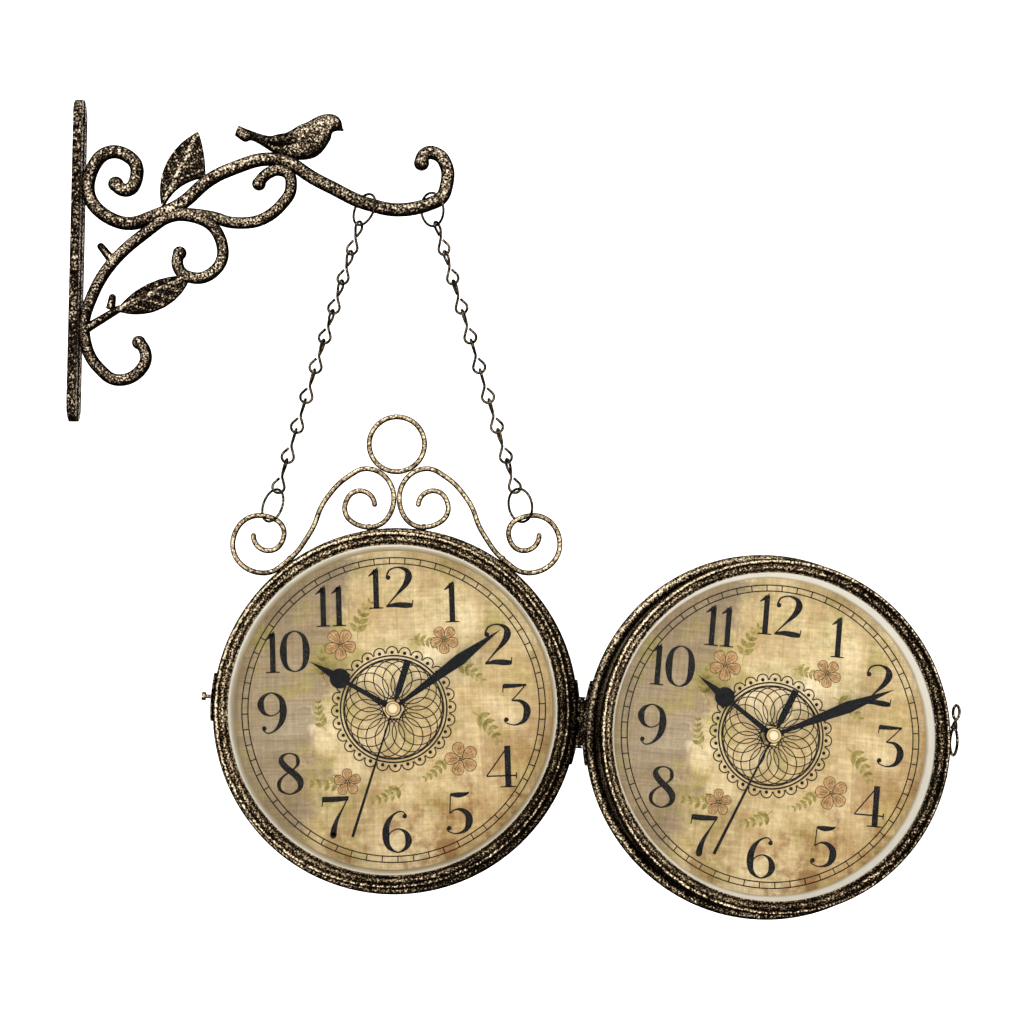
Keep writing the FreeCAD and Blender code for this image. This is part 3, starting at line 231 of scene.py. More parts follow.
clocks = ("first", "second")
joints = {joint["name"]: joint for joint in frame["joints"]}
hinge = joints["case_hinge"]
hinge_line = Vector(hinge["axis"])
hinge_turn = math.atan2(hinge_line.x, hinge_line.z)
open_short = math.radians(180 - hinge["range_deg"][1])
dial_turns = {"first": Matrix(), "second": Matrix.Rotation(open_short, 4, hinge_line)
              @ Matrix.Rotation(2 * hinge_turn, 4, "Y")}
places = {clock: Matrix.Translation(Vector(joints[clock + "_second_spin"]["pos_m"])) @ dial_turns[clock]
          for clock in clocks}
CASE_STOPS = ((0.26, (0.002, 0.0014, 0.001)), (0.44, (0.020, 0.013, 0.008)), (0.60, (0.115, 0.080, 0.044)),
              (0.76, (0.42, 0.310, 0.180)), (0.94, (0.94, 0.77, 0.52)))
# Radius and amount of paste: the bright stops are gold paste and painted highlight on the beads and lip, the
# dark stops painted shade in the grooves and between bezel and rim.
CASE_RING_LIGHT_AND_PASTE = ((0.0970, 0.85), (0.0982, 0.30), (0.0994, 0.75), (0.1008, 0.45), (0.1020, 0.18), (0.1032, 0.88),
              (0.1040, 0.20), (0.1052, 0.02), (0.1064, 0.38), (0.1077, 0.66), (0.1090, 0.42), (0.1100, 0.20))
for clock in clocks:
    case_bronze = rubbed_metal(clock + "_case_bronze", CASE_STOPS, 900, 0.48, (-0.34, -0.03), 0.0004,
                               rings=CASE_RING_LIGHT_AND_PASTE, place=places[clock])
    dress([clock + "_" + part for part in ("case_shell", "bezel")], case_bronze)
fitting_bronze = rubbed_metal("fitting_bronze", CASE_STOPS, 900, 0.5, (-0.45, -0.16), 0.0003)
dress(["first_hinge_leaf", "second_hinge_leaf", "hinge_pin", "keeper_plate", "latch_plate", "latch_pivot",
       "latch_arm"], fitting_bronze)
dress(["keeper_stud"], crest_gold)


# Glass and spacer: a flat pane behind the lip of each bezel, kept off the dial by a ring of cream plastic
# that shows as a pale line round the print. The spacer's wall has painted shade, darker towards the dial.

clear_glass, glass_tree, glass_shader = finish_of("clear_glass", base_color=(0.02, 0.02, 0.02, 1), ior=1.45,
                                                  alpha=0.012)
smear = node(glass_tree, "TexNoise", {"Scale": 40, "Detail": 3})
glass_tree.links.new(between(glass_tree, smear.outputs["Fac"], 0.3, 0.7, 0.02, 0.07),
                     glass_shader.inputs["Roughness"])
dress([clock + "_glass" for clock in clocks], clear_glass)

WALL_RADII = {"first": (0.0947, 0.0969), "second": (0.0938, 0.0955)}
for clock in clocks:
    cream_plastic, cream_tree, cream_shader = finish_of(clock + "_cream_plastic", roughness=0.35,
                                                        specular_ior_level=0.2)
    cream_place = node(cream_tree, "TexCoord").outputs["Object"]
    cloud = node(cream_tree, "TexNoise", {"Vector": cream_place, "Scale": 60, "Detail": 4})
    # Painted shade: the wall is darker towards its smaller radius, near the dial, in the recess under the
    # bezel.
    tone = between(cream_tree, reach_of(cream_tree, cream_place, places[clock]), *WALL_RADII[clock], 0.0, 0.8)
    tone = sum_of(cream_tree, tone, between(cream_tree, cloud.outputs["Fac"], 0.3, 0.7, 0.0, 0.2))
    cream_tree.links.new(ramp(cream_tree, tone, ((0.15, (0.30, 0.235, 0.135)), (0.55, (0.46, 0.41, 0.30)),
                                                 (0.85, (0.74, 0.72, 0.64)))),
                         cream_shader.inputs["Base Color"])
    dress([clock + "_spacer_ring"], cream_plastic)


# Dial print: a paper disc glued to a board, printed as aged parchment on linen, darker on the left, with
# olive and rust stains. It is drawn once, about the middle of the dial, and set in both cases.

MM = 0.001
PAPER_RADIUS = 102.4 * MM
PAPER_HOLE = 4.2 * MM
PRINT_TURNS_DEG = {"first": -2.0, "second": -2.8}
dial_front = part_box("first_dial_paper")[0].y - places["first"].translation.y
dial_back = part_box("first_dial_paper")[1].y - places["first"].translation.y


def set_piece(name, vertices, faces, material, matrix, body, slot):
    """Mesh piece in the scene that rides on a body."""
    mesh = bpy.data.meshes.new(name)
    mesh.from_pydata(vertices, [], faces)
    mesh.validate()
    mesh.materials.append(material)
    made = bpy.data.objects.new(name, mesh)
    bpy.context.scene.collection.objects.link(made)
    made.matrix_world = matrix
    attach(made, body)
    return made


def printed_place(clock):
    """Place of a clock's print, turned a little in its case as it was glued."""
    return places[clock] @ Matrix.Rotation(math.radians(PRINT_TURNS_DEG[clock]), 4, "Y")


def stain(tree, under, factor, colour):
    """Tints a colour where a factor is high."""
    made = node(tree, "Mix", {"Factor": factor, "A": under, "B": (*colour, 1)}, data_type="RGBA")
    return made.outputs["Result"]


def parchment():
    """Aged paper: tan ground, grey-brown left side, warm lower right, olive and rust stains, brown specks
    and a linen weave."""
    material, tree, shader = finish_of("aged_parchment", roughness=0.62, specular_ior_level=0.1)
    where = node(tree, "TexCoord").outputs["Object"]
    axes = node(tree, "SeparateXYZ", {"Vector": where})

    def noise(scale, detail, seed, stretch=(1, 1, 1)):
        spot = node(tree, "Mapping", {"Vector": where, "Scale": stretch}, vector_type="POINT")
        made = node(tree, "TexNoise", {"Vector": spot.outputs["Vector"], "Scale": scale, "Detail": detail,
                                       "Roughness": 0.68, "W": seed}, noise_dimensions="4D")
        return made.outputs["Fac"]

    cloud = noise(28, 8, 0.0)
    colour = ramp(tree, cloud, ((0.30, (0.33, 0.215, 0.085)), (0.44, (0.45, 0.325, 0.155)),
                                (0.56, (0.57, 0.445, 0.245)), (0.70, (0.72, 0.60, 0.39))))
    streak = noise(2.0, 4, 1.7, (6, 1, 150))
    side = sum_of(tree, axes.outputs["X"], sum_of(tree, axes.outputs["Z"], -0.18, "MULTIPLY"))
    ragged = sum_of(tree, side, between(tree, noise(60, 8, 6.3), 0.3, 0.7, -0.016, 0.016))
    shade = between(tree, ragged, -0.034, -0.046, 0.0, 0.82)
    shade = sum_of(tree, shade, between(tree, streak, 0.3, 0.7, 0.72, 1.08), "MULTIPLY")
    colour = stain(tree, colour, shade, (0.205, 0.150, 0.098))
    olive = between(tree, noise(48, 7, 3.1), 0.51, 0.60, 0.0, 0.62)
    colour = stain(tree, colour, olive, (0.30, 0.250, 0.070))
    right = sum_of(tree, axes.outputs["X"], 0.9, "MULTIPLY")
    warm = sum_of(tree, right, sum_of(tree, axes.outputs["Z"], 0.6, "MULTIPLY"), "SUBTRACT")
    colour = stain(tree, colour, between(tree, warm, 0.02, 0.085, 0.0, 0.42), (0.44, 0.28, 0.11))
    corner = sum_of(tree, sum_of(tree, axes.outputs["X"], 0.45, "MULTIPLY"), axes.outputs["Z"], "SUBTRACT")
    rust = sum_of(tree, between(tree, noise(40, 8, 8.4), 0.50, 0.58, 0.0, 1.0),
                  between(tree, corner, 0.020, 0.080, 0.0, 0.85), "MULTIPLY")
    colour = stain(tree, colour, rust, (0.25, 0.125, 0.042))
    speck = between(tree, noise(620, 2, 5.0), 0.62, 0.70, 0.0, 0.55)
    colour = stain(tree, colour, speck, (0.20, 0.115, 0.045))
    weave = sum_of(tree, noise(30, 2, 0.5, (1, 1, 28)), noise(30, 2, 0.9, (28, 1, 1)))
    cloth = sum_of(tree, between(tree, weave, 0.75, 1.25, 0.82, 1.15),
                   between(tree, noise(300, 6, 2.2), 0.3, 0.7, 0.84, 1.14), "MULTIPLY")
    woven = node(tree, "Mix", {"Factor": 1.0, "A": colour, "B": cloth}, data_type="RGBA",
                 blend_type="MULTIPLY")
    tree.links.new(woven.outputs["Result"], shader.inputs["Base Color"])
    bump = node(tree, "Bump", {"Height": weave, "Strength": 0.2, "Distance": 0.0001})
    tree.links.new(bump.outputs["Normal"], shader.inputs["Normal"])
    return material


def paper_disc():
    """Vertices and faces of the thin paper ring."""
    steps = 192
    vertices = []
    for radius, depth in ((PAPER_HOLE, dial_front), (PAPER_RADIUS, dial_front), (PAPER_RADIUS, dial_back),
                          (PAPER_HOLE, dial_back)):
        for step in range(steps):
            turn = 2 * math.pi * step / steps
            vertices.append((radius * math.sin(turn), depth, radius * math.cos(turn)))
    faces = []
    for ring in range(4):
        for step in range(steps):
            near = ring * steps
            far = (ring + 1) % 4 * steps
            faces.append((near + step, near + (step + 1) % steps, far + (step + 1) % steps, far + step))
    return vertices, faces


aged_parchment = parchment()
for clock in clocks:
    paper = set_piece(clock + "_dial_print", *paper_disc(), aged_parchment, printed_place(clock),
                      clock + "_case", "printed_paper")
    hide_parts(clock + "_dial_paper")


# Numbers and minute track: flat black ink. The numbers stand upright and have the thick stems, hairlines
# and ball ends of old bookwork figures, and the track is a ring of sixty brick-shaped cells.

INK_LIFT = 0.03 * MM
NUMBER_HEIGHT = 24.7 * MM
NUMBER_RADIUS = 72.3 * MM
NUMBER_STRETCH = 1.42
NUMBER_GAP = 0.02
THICK_STROKE = 0.05
THICK_GROWTH = 0.30
TRACK_RADII = (90.2 * MM, 86.6 * MM)
TRACK_LINE = 0.72 * MM
TICK_LINE = 0.66 * MM
# Each figure in a box one high: strokes as (x, height, pen width) points, then balls as (x, height, radius)
FIGURES = {
    "0": (0.50, [[(0.25, 0.985, 0.03), (0.10, 0.85, 0.09), (0.055, 0.5, 0.145), (0.10, 0.15, 0.09),
                  (0.25, 0.015, 0.03), (0.40, 0.15, 0.09), (0.445, 0.5, 0.145), (0.40, 0.85, 0.09),
                  (0.25, 0.985, 0.03)]], []),
    "1": (0.36, [[(0.20, 0.0, 0.115), (0.20, 0.5, 0.115), (0.20, 0.95, 0.115)],
                 [(0.25, 0.998, 0.02), (0.15, 0.885, 0.07), (0.02, 0.79, 0.025)],
                 [(0.03, 0.012, 0.026), (0.20, 0.018, 0.038), (0.37, 0.012, 0.026)]], []),
    "2": (0.50, [[(0.055, 0.76, 0.04), (0.11, 0.92, 0.045), (0.25, 0.985, 0.04), (0.395, 0.91, 0.09),
                  (0.435, 0.75, 0.145), (0.37, 0.55, 0.11), (0.22, 0.32, 0.05), (0.05, 0.05, 0.03)],
                 [(0.04, 0.045, 0.05), (0.20, 0.075, 0.10), (0.36, 0.060, 0.12), (0.485, 0.050, 0.09)],
                 [(0.485, 0.02, 0.028), (0.490, 0.10, 0.028), (0.495, 0.18, 0.028)]],
          [(0.085, 0.745, 0.058)]),
    "3": (0.50, [[(0.06, 0.955, 0.10), (0.25, 0.955, 0.085), (0.45, 0.968, 0.05)],
                 [(0.055, 0.99, 0.026), (0.050, 0.88, 0.026), (0.045, 0.80, 0.026)],
                 [(0.44, 0.975, 0.03), (0.31, 0.77, 0.032), (0.19, 0.60, 0.03)],
                 [(0.19, 0.60, 0.03), (0.33, 0.585, 0.07), (0.43, 0.46, 0.125), (0.445, 0.30, 0.145),
                  (0.38, 0.10, 0.09), (0.23, 0.015, 0.035), (0.09, 0.07, 0.03), (0.055, 0.15, 0.03)]],
          [(0.092, 0.150, 0.055)]),
    "4": (0.54, [[(0.385, 0.0, 0.125), (0.385, 0.5, 0.125), (0.385, 0.985, 0.125)],
                 [(0.40, 0.985, 0.035), (0.21, 0.63, 0.032), (0.025, 0.285, 0.032)],
                 [(0.02, 0.275, 0.036), (0.28, 0.275, 0.036), (0.535, 0.275, 0.036)],
                 [(0.525, 0.20, 0.028), (0.527, 0.275, 0.028), (0.525, 0.35, 0.028)],
                 [(0.25, 0.012, 0.026), (0.385, 0.016, 0.034), (0.52, 0.012, 0.026)]], []),
    "5": (0.48, [[(0.125, 0.945, 0.06), (0.25, 0.930, 0.11), (0.37, 0.945, 0.08), (0.44, 0.985, 0.03)],
                 [(0.125, 0.96, 0.03), (0.115, 0.72, 0.03), (0.105, 0.50, 0.03)],
                 [(0.105, 0.50, 0.03), (0.20, 0.585, 0.04), (0.32, 0.565, 0.085), (0.415, 0.44, 0.13),
                  (0.425, 0.27, 0.145), (0.36, 0.09, 0.085), (0.21, 0.015, 0.035), (0.08, 0.07, 0.03),
                  (0.050, 0.15, 0.03)]], [(0.088, 0.150, 0.055)]),
    "6": (0.50, [[(0.415, 0.88, 0.03), (0.33, 0.98, 0.032), (0.20, 0.91, 0.055), (0.09, 0.70, 0.115),
                  (0.058, 0.42, 0.145), (0.10, 0.15, 0.10), (0.25, 0.015, 0.035), (0.39, 0.11, 0.085),
                  (0.440, 0.29, 0.135), (0.39, 0.48, 0.085), (0.27, 0.565, 0.035), (0.15, 0.50, 0.03),
                  (0.095, 0.38, 0.03)]], [(0.385, 0.860, 0.055)]),
    "7": (0.50, [[(0.045, 0.930, 0.115), (0.25, 0.930, 0.115), (0.475, 0.945, 0.09)],
                 [(0.042, 0.985, 0.028), (0.035, 0.86, 0.028), (0.028, 0.76, 0.028)],
                 [(0.478, 0.985, 0.032), (0.38, 0.72, 0.040), (0.28, 0.46, 0.075), (0.225, 0.24, 0.115),
                  (0.205, 0.07, 0.14)]], [(0.205, 0.070, 0.072)]),
    "8": (0.50, [[(0.395, 0.80, 0.085), (0.36, 0.93, 0.055), (0.25, 0.985, 0.034), (0.14, 0.93, 0.07),
                  (0.115, 0.80, 0.120), (0.20, 0.64, 0.130), (0.33, 0.49, 0.135), (0.425, 0.32, 0.135),
                  (0.405, 0.13, 0.085), (0.25, 0.015, 0.036), (0.095, 0.11, 0.065), (0.065, 0.28, 0.085),
                  (0.14, 0.44, 0.050), (0.28, 0.57, 0.036), (0.375, 0.69, 0.060), (0.395, 0.80, 0.085)]], []),
}
FIGURES["9"] = (0.50, [[(0.50 - x, 1 - z, pen) for x, z, pen in stroke] for stroke in FIGURES["6"][1]],
                [(0.50 - x, 1 - z, radius) for x, z, radius in FIGURES["6"][2]])


def rounded(points, steps=7):
    """A smooth line through points, each with its pen width."""
    closed = points[0] == points[-1]
    line = []
    for index in range(len(points) - 1):
        before = points[index - 1] if index else (points[-2] if closed else points[0])
        after = points[index + 2] if index + 2 < len(points) else (points[1] if closed else points[-1])
        for step in range(steps):
            t = step / steps
            line.append(tuple(0.5 * (2 * p1 + (p2 - p0) * t + (2 * p0 - 5 * p1 + 4 * p2 - p3) * t * t
                                     + (3 * p1 - p0 - 3 * p2 + p3) * t ** 3)
                              for p0, p1, p2, p3 in zip(before, points[index], points[index + 1], after)))
    return line + [points[-1]]


def pen(art, line):
    """Adds a stroke to a drawing: (x, z, width) points in metres become a flat band."""
    vertices, faces = art
    start = len(vertices)
    for index, (x, z, width) in enumerate(line):
        x0, z0, _ = line[max(index - 1, 0)]
        x1, z1, _ = line[min(index + 1, len(line) - 1)]
        if line[0] == line[-1] and index in (0, len(line) - 1):
            x0, z0, _ = line[-2]
            x1, z1, _ = line[1]
        length = math.hypot(x1 - x0, z1 - z0) or 1
        across = (-(z1 - z0) / length * width / 2, (x1 - x0) / length * width / 2)
        vertices += [(x + across[0], 0, z + across[1]), (x - across[0], 0, z - across[1])]
    for index in range(len(line) - 1):
        corner = start + 2 * index
        faces.append((corner, corner + 2, corner + 3, corner + 1))


def dot(art, x, z, radius, steps=20):
    """Adds a filled dot to a drawing."""
    vertices, faces = art
    start = len(vertices)
    turns = [2 * math.pi * step / steps for step in range(steps)]
    vertices += [(x + radius * math.cos(turn), 0, z + radius * math.sin(turn)) for turn in turns]
    faces.append(tuple(range(start, start + steps)))


def arc(x, z, radius, start, end, width, steps):
    """Points of a circular stroke, in turns clockwise from the top."""
    turns = [start + (end - start) * step / steps for step in range(steps + 1)]
    line = [(x + radius * math.sin(turn), z + radius * math.cos(turn), width) for turn in turns]
    if abs(end - start - 2 * math.pi) < 1e-9:
        line[-1] = line[0]
    return line


def figure_width(text):
    """Width of a number, in heights of a figure."""
    widths = [FIGURES[figure][0] * (1 if figure == "1" else NUMBER_STRETCH) for figure in text]
    return sum(widths) + NUMBER_GAP * (len(text) - 1)


def write_number(art, text, x, z):
    """Adds a number with its middle at a place on the dial."""
    left = x - figure_width(text) / 2 * NUMBER_HEIGHT
    foot = z - NUMBER_HEIGHT / 2
    for figure in text:
        stretch = 1 if figure == "1" else NUMBER_STRETCH
        width, strokes, balls = FIGURES[figure]
        for stroke in strokes:
            line = []
            for px, pz, breadth in rounded(stroke):
                breadth += THICK_GROWTH * max(breadth - THICK_STROKE, 0)
                line.append((left + stretch * px * NUMBER_HEIGHT, foot + pz * NUMBER_HEIGHT,
                             breadth * NUMBER_HEIGHT))
            pen(art, line)
        for px, pz, radius in balls:
            dot(art, left + stretch * px * NUMBER_HEIGHT, foot + pz * NUMBER_HEIGHT, radius * NUMBER_HEIGHT)
        left += (width * stretch + NUMBER_GAP) * NUMBER_HEIGHT


def ink(name, stops, scale):
    """Printed ink, thinner in places."""
    material, tree, shader = finish_of(name, roughness=0.6, specular_ior_level=0.04)
    where = node(tree, "TexCoord").outputs["Object"]
    wear = node(tree, "TexNoise", {"Vector": where, "Scale": scale, "Detail": 5, "Roughness": 0.7})
    tree.links.new(ramp(tree, wear.outputs["Fac"], stops), shader.inputs["Base Color"])
    return material


def print_layer(name, art, material, lift):
    """One printed drawing on both dials."""
    vertices, faces = art
    for clock in clocks:
        flat = [(x, dial_front - lift, z) for x, y, z in vertices]
        set_piece(clock + "_" + name, flat, faces, material, printed_place(clock), clock + "_case",
                  "printed_paper")


black_ink = ink("black_ink", ((0.35, (0.008, 0.008, 0.009)), (0.62, (0.020, 0.018, 0.016)),
                              (0.78, (0.08, 0.064, 0.045))), 420)
numbers = ([], [])
for hour in range(1, 13):
    turn = math.radians(30 * hour)
    write_number(numbers, str(hour), NUMBER_RADIUS * math.sin(turn), NUMBER_RADIUS * math.cos(turn))
print_layer("numbers", numbers, black_ink, 2 * INK_LIFT)

track = ([], [])
for radius in TRACK_RADII:
    pen(track, arc(0, 0, radius, 0, 2 * math.pi, TRACK_LINE, 240))
for minute in range(60):
    turn = math.radians(6 * minute)
    pen(track, [(radius * math.sin(turn), radius * math.cos(turn), TICK_LINE) for radius in TRACK_RADII])
print_layer("minute_track", track, black_ink, INK_LIFT)


# Middle ornament: a plain engine-turned rosette of overlapping circles in brown-black line, in a scalloped
# edge, with olive leaf sprays and tan blossoms round it. All of it is printed with the paper.

ROSETTE_LINE = 0.62 * MM
CIRCLES = 20
CIRCLE_REACH = 17.5 * MM
CIRCLE_RADIUS = 11.5 * MM
RING_RADII = (5.2 * MM, 29.6 * MM, 31.6 * MM)
SCALLOPS = 28
SCALLOP_REACH = 33.6 * MM
SCALLOP_RADIUS = 3.4 * MM
SCALLOP_HALF_TURN = 1.75
SCALLOP_DOT = 1.1 * MM
rosette_ink = ink("rosette_ink", ((0.35, (0.010, 0.008, 0.008)), (0.60, (0.026, 0.020, 0.017)),
                                  (0.78, (0.11, 0.080, 0.050))), 500)
rosette = ([], [])
for circle in range(CIRCLES):
    turn = 2 * math.pi * circle / CIRCLES
    x, z = CIRCLE_REACH * math.sin(turn), CIRCLE_REACH * math.cos(turn)
    pen(rosette, arc(x, z, CIRCLE_RADIUS, 0, 2 * math.pi, ROSETTE_LINE, 72))
for radius in RING_RADII:
    pen(rosette, arc(0, 0, radius, 0, 2 * math.pi, 1.6 * ROSETTE_LINE, 144))
for scallop in range(SCALLOPS):
    turn = 2 * math.pi * scallop / SCALLOPS
    x, z = SCALLOP_REACH * math.sin(turn), SCALLOP_REACH * math.cos(turn)
    pen(rosette, arc(x, z, SCALLOP_RADIUS, turn - SCALLOP_HALF_TURN, turn + SCALLOP_HALF_TURN,
                     1.2 * ROSETTE_LINE, 18))
    dot(rosette, x, z, SCALLOP_DOT, 12)
print_layer("rosette", rosette, rosette_ink, INK_LIFT)


LEAF_SPREAD = math.radians(48)
STEM_BEND = math.radians(7)
STEM_LINE = 0.5 * MM
STEM_STEP = 0.62
LEAF_HALF_WIDTH = 0.24
LEAF_STEPS = 8


def leaf(art, x, z, heading, length):
    """One pointed leaf."""
    vertices, faces = art
    start = len(vertices)
    ahead = (math.sin(heading), math.cos(heading))
    aside = (ahead[1], -ahead[0])
    right = []
    left = []
    for step in range(LEAF_STEPS + 1):
        t = step / LEAF_STEPS
        half = LEAF_HALF_WIDTH * length * math.sin(math.pi * t ** 0.8)
        px = x + ahead[0] * t * length
        pz = z + ahead[1] * t * length
        right.append((px + aside[0] * half, 0, pz + aside[1] * half))
        left.append((px - aside[0] * half, 0, pz - aside[1] * half))
    vertices += right + left
    for step in range(LEAF_STEPS):
        across = start + LEAF_STEPS + 1 + step
        faces.append((start + step, start + step + 1, across + 1, across))


def spray(art, x, z, heading, leaves, length):
    """A stem with pairs of pointed leaves, bending to one side."""
    stem = []
    for step in range(leaves + 1):
        stem.append((x, z, STEM_LINE))
        if step:
            for side in (-1, 1):
                leaf(art, x, z, heading + side * LEAF_SPREAD, length * (1.1 - 0.6 * step / leaves))
        heading += STEM_BEND
        x += STEM_STEP * length * math.sin(heading)
        z += STEM_STEP * length * math.cos(heading)
    pen(art, rounded(stem, 4))


olive_ink = ink("olive_ink", ((0.35, (0.15, 0.12, 0.028)), (0.52, (0.26, 0.21, 0.060)),
                              (0.68, (0.38, 0.31, 0.12))), 260)
SPRAYS = 9
SPRAY_LEAVES = 5
sprays = ([], [])
for index in range(SPRAYS):
    turn = 2 * math.pi * (index + 0.35) / SPRAYS
    radius = (42 + 2.5 * (index % 3)) * MM
    heading = turn + math.radians(70 - 22 * (index % 3))
    spray(sprays, radius * math.sin(turn), radius * math.cos(turn), heading, SPRAY_LEAVES,
          (5.6 + 0.9 * (index % 3)) * MM)
print_layer("leaf_sprays", sprays, olive_ink, 0.5 * INK_LIFT)


PETALS = 5
PETAL_STEPS = 16
PETAL_LINE = 0.34 * MM
VEIN_LINE = 0.24 * MM
VEIN_LEANS = (-0.24, 0, 0.24)
VEIN_REACHES = (0.22, 0.5, 0.78)
SEEDS = 9


def blossom(fill, line, x, z, size, turn):
    """A five-petal flower seen from above: tinted petals, a drawn edge and a stippled middle."""
    for petal in range(PETALS):
        heading = turn + 2 * math.pi * petal / PETALS
        edge = []
        for step in range(PETAL_STEPS + 1):
            t = 2 * math.pi * step / PETAL_STEPS
            along = size * (0.56 - 0.44 * math.cos(t))
            aside = 0.34 * size * math.sin(t) * (1 - 0.35 * math.cos(t))
            edge.append((x + along * math.sin(heading) + aside * math.cos(heading),
                         z + along * math.cos(heading) - aside * math.sin(heading)))
        start = len(fill[0])
        fill[0].extend((px, 0, pz) for px, pz in edge[:-1])
        fill[1].append(tuple(range(start, start + PETAL_STEPS)))
        pen(line, [(px, pz, PETAL_LINE) for px, pz in edge[:-1]] + [(*edge[0], PETAL_LINE)])
        for lean in VEIN_LEANS:
            ahead = (math.sin(heading + lean), math.cos(heading + lean))
            pen(line, [(x + reach * size * ahead[0], z + reach * size * ahead[1], VEIN_LINE)
                       for reach in VEIN_REACHES])
    for seed in range(SEEDS):
        spread = 0.16 * size * math.sqrt(seed / SEEDS)
        dot(line, x + spread * math.sin(2.4 * seed), z + spread * math.cos(2.4 * seed), 0.045 * size, 8)


petal_ink = ink("petal_ink", ((0.35, (0.24, 0.125, 0.050)), (0.52, (0.40, 0.235, 0.100)),
                              (0.68, (0.54, 0.38, 0.200))), 420)
BLOSSOMS = ((38, 51, 8.5), (128, 50, 10.0), (214, 51, 8.0), (322, 50, 9.5))
petals = ([], [])
petal_lines = ([], [])
for degrees, reach, size in BLOSSOMS:
    turn = math.radians(degrees)
    blossom(petals, petal_lines, reach * MM * math.sin(turn), reach * MM * math.cos(turn), size * MM, turn)
print_layer("petals", petals, petal_ink, 0.8 * INK_LIFT)
print_layer("petal_lines", petal_lines, rosette_ink, 1.2 * INK_LIFT)


# Dial board and tabs: pressed hardboard that carries print and movement, held in the drum by four bent
# tabs of plated strip.

BOARD_STOPS = ((0.3, (0.13, 0.075, 0.038)), (0.5, (0.21, 0.125, 0.065)), (0.72, (0.33, 0.215, 0.12)))
hardboard, board_tree, board_shader = finish_of("hardboard", roughness=0.8)
fibre_place = node(board_tree, "TexCoord").outputs["Object"]
fibre = node(board_tree, "TexNoise", {"Vector": fibre_place, "Scale": 380, "Detail": 6, "Roughness": 0.75})
board_tree.links.new(ramp(board_tree, fibre.outputs["Fac"], BOARD_STOPS), board_shader.inputs["Base Color"])
board_bump = node(board_tree, "Bump", {"Height": fibre.outputs["Fac"], "Strength": 0.4, "Distance": 0.0003})
board_tree.links.new(board_bump.outputs["Normal"], board_shader.inputs["Normal"])
dress([clock + "_dial_board" for clock in clocks], hardboard)


def brushed(name, stops, scale, roughness):
    """Bare metal with fine drawn lines."""
    material, tree, shader = finish_of(name, metallic=1.0)
    where = node(tree, "TexCoord").outputs["Object"]
    drawn = node(tree, "Mapping", {"Vector": where, "Scale": (1, 1, 0.5)})
    lines = node(tree, "TexNoise", {"Vector": drawn.outputs["Vector"], "Scale": scale, "Detail": 4})
    tree.links.new(ramp(tree, lines.outputs["Fac"], stops), shader.inputs["Base Color"])
    tree.links.new(between(tree, lines.outputs["Fac"], 0.3, 0.7, *roughness), shader.inputs["Roughness"])
    return material


STRIP_STOPS = ((0.3, (0.48, 0.48, 0.46)), (0.7, (0.72, 0.72, 0.69)))
plated_strip = brushed("plated_strip", STRIP_STOPS, 900, (0.25, 0.42))
dress([clock + "_" + part for clock in clocks for part in ("dial_tabs", "battery_contacts")], plated_strip)


# Movement: a quartz unit in a black moulded box with a bay for one cell and a thumb knob to set the hands.
# Its brass bush goes through the dial and a hexagon nut clamps it.

PLASTIC_STOPS = ((0.3, (0.012, 0.012, 0.013)), (0.7, (0.028, 0.028, 0.030)))
black_plastic, plastic_tree, plastic_shader = finish_of("black_plastic", roughness=0.45)
plastic_place = node(plastic_tree, "TexCoord").outputs["Object"]
spark = node(plastic_tree, "TexNoise", {"Vector": plastic_place, "Scale": 2400, "Detail": 3})
plastic_tree.links.new(ramp(plastic_tree, spark.outputs["Fac"], PLASTIC_STOPS),
                       plastic_shader.inputs["Base Color"])
spark_bump = node(plastic_tree, "Bump", {"Height": spark.outputs["Fac"], "Strength": 0.3, "Distance": 0.0001})
plastic_tree.links.new(spark_bump.outputs["Normal"], plastic_shader.inputs["Normal"])
dress([clock + "_" + part for clock in clocks
       for part in ("movement_housing", "setting_knob")], black_plastic)

BRASS_STOPS = ((0.3, (0.62, 0.46, 0.22)), (0.7, (0.80, 0.65, 0.40)))
turned_brass = brushed("turned_brass", BRASS_STOPS, 1600, (0.24, 0.36))
dress([clock + "_" + part for clock in clocks
       for part in ("movement_bush", "dial_nut", "hour_pipe", "minute_pipe")], turned_brass)

SLEEVE_STOPS = ((0.3, (0.20, 0.21, 0.225)), (0.7, (0.30, 0.31, 0.33)))
cell_sleeve, sleeve_tree, sleeve_shader = finish_of("cell_sleeve", metallic=0.35, roughness=0.34)
sleeve_noise = node(sleeve_tree, "TexNoise", {"Scale": 300, "Detail": 3})
sleeve_tree.links.new(ramp(sleeve_tree, sleeve_noise.outputs["Fac"], SLEEVE_STOPS),
                      sleeve_shader.inputs["Base Color"])
dress([clock + "_battery" for clock in clocks], cell_sleeve)


# Hands: stamped sheet, painted black. The hour hand has a round bulb, the minute hand is a lance, and the
# second hand is a needle with a broad tail, on a rod with a turned brass cap.

PAINT_STOPS = ((0.3, (0.004, 0.004, 0.005)), (0.7, (0.010, 0.010, 0.011)))
CAP_REACH = 5.0 * MM
black_paint, paint_tree, paint_shader = finish_of("black_paint", roughness=0.4, specular_ior_level=0.08)
paint_place = node(paint_tree, "TexCoord").outputs["Object"]
orange_peel = node(paint_tree, "TexNoise", {"Vector": paint_place, "Scale": 700, "Detail": 3})
paint_tree.links.new(ramp(paint_tree, orange_peel.outputs["Fac"], PAINT_STOPS),
                     paint_shader.inputs["Base Color"])
dress([clock + "_" + hand + "_hand" for clock in clocks
       for hand in ("hour", "minute", "second")], black_paint)

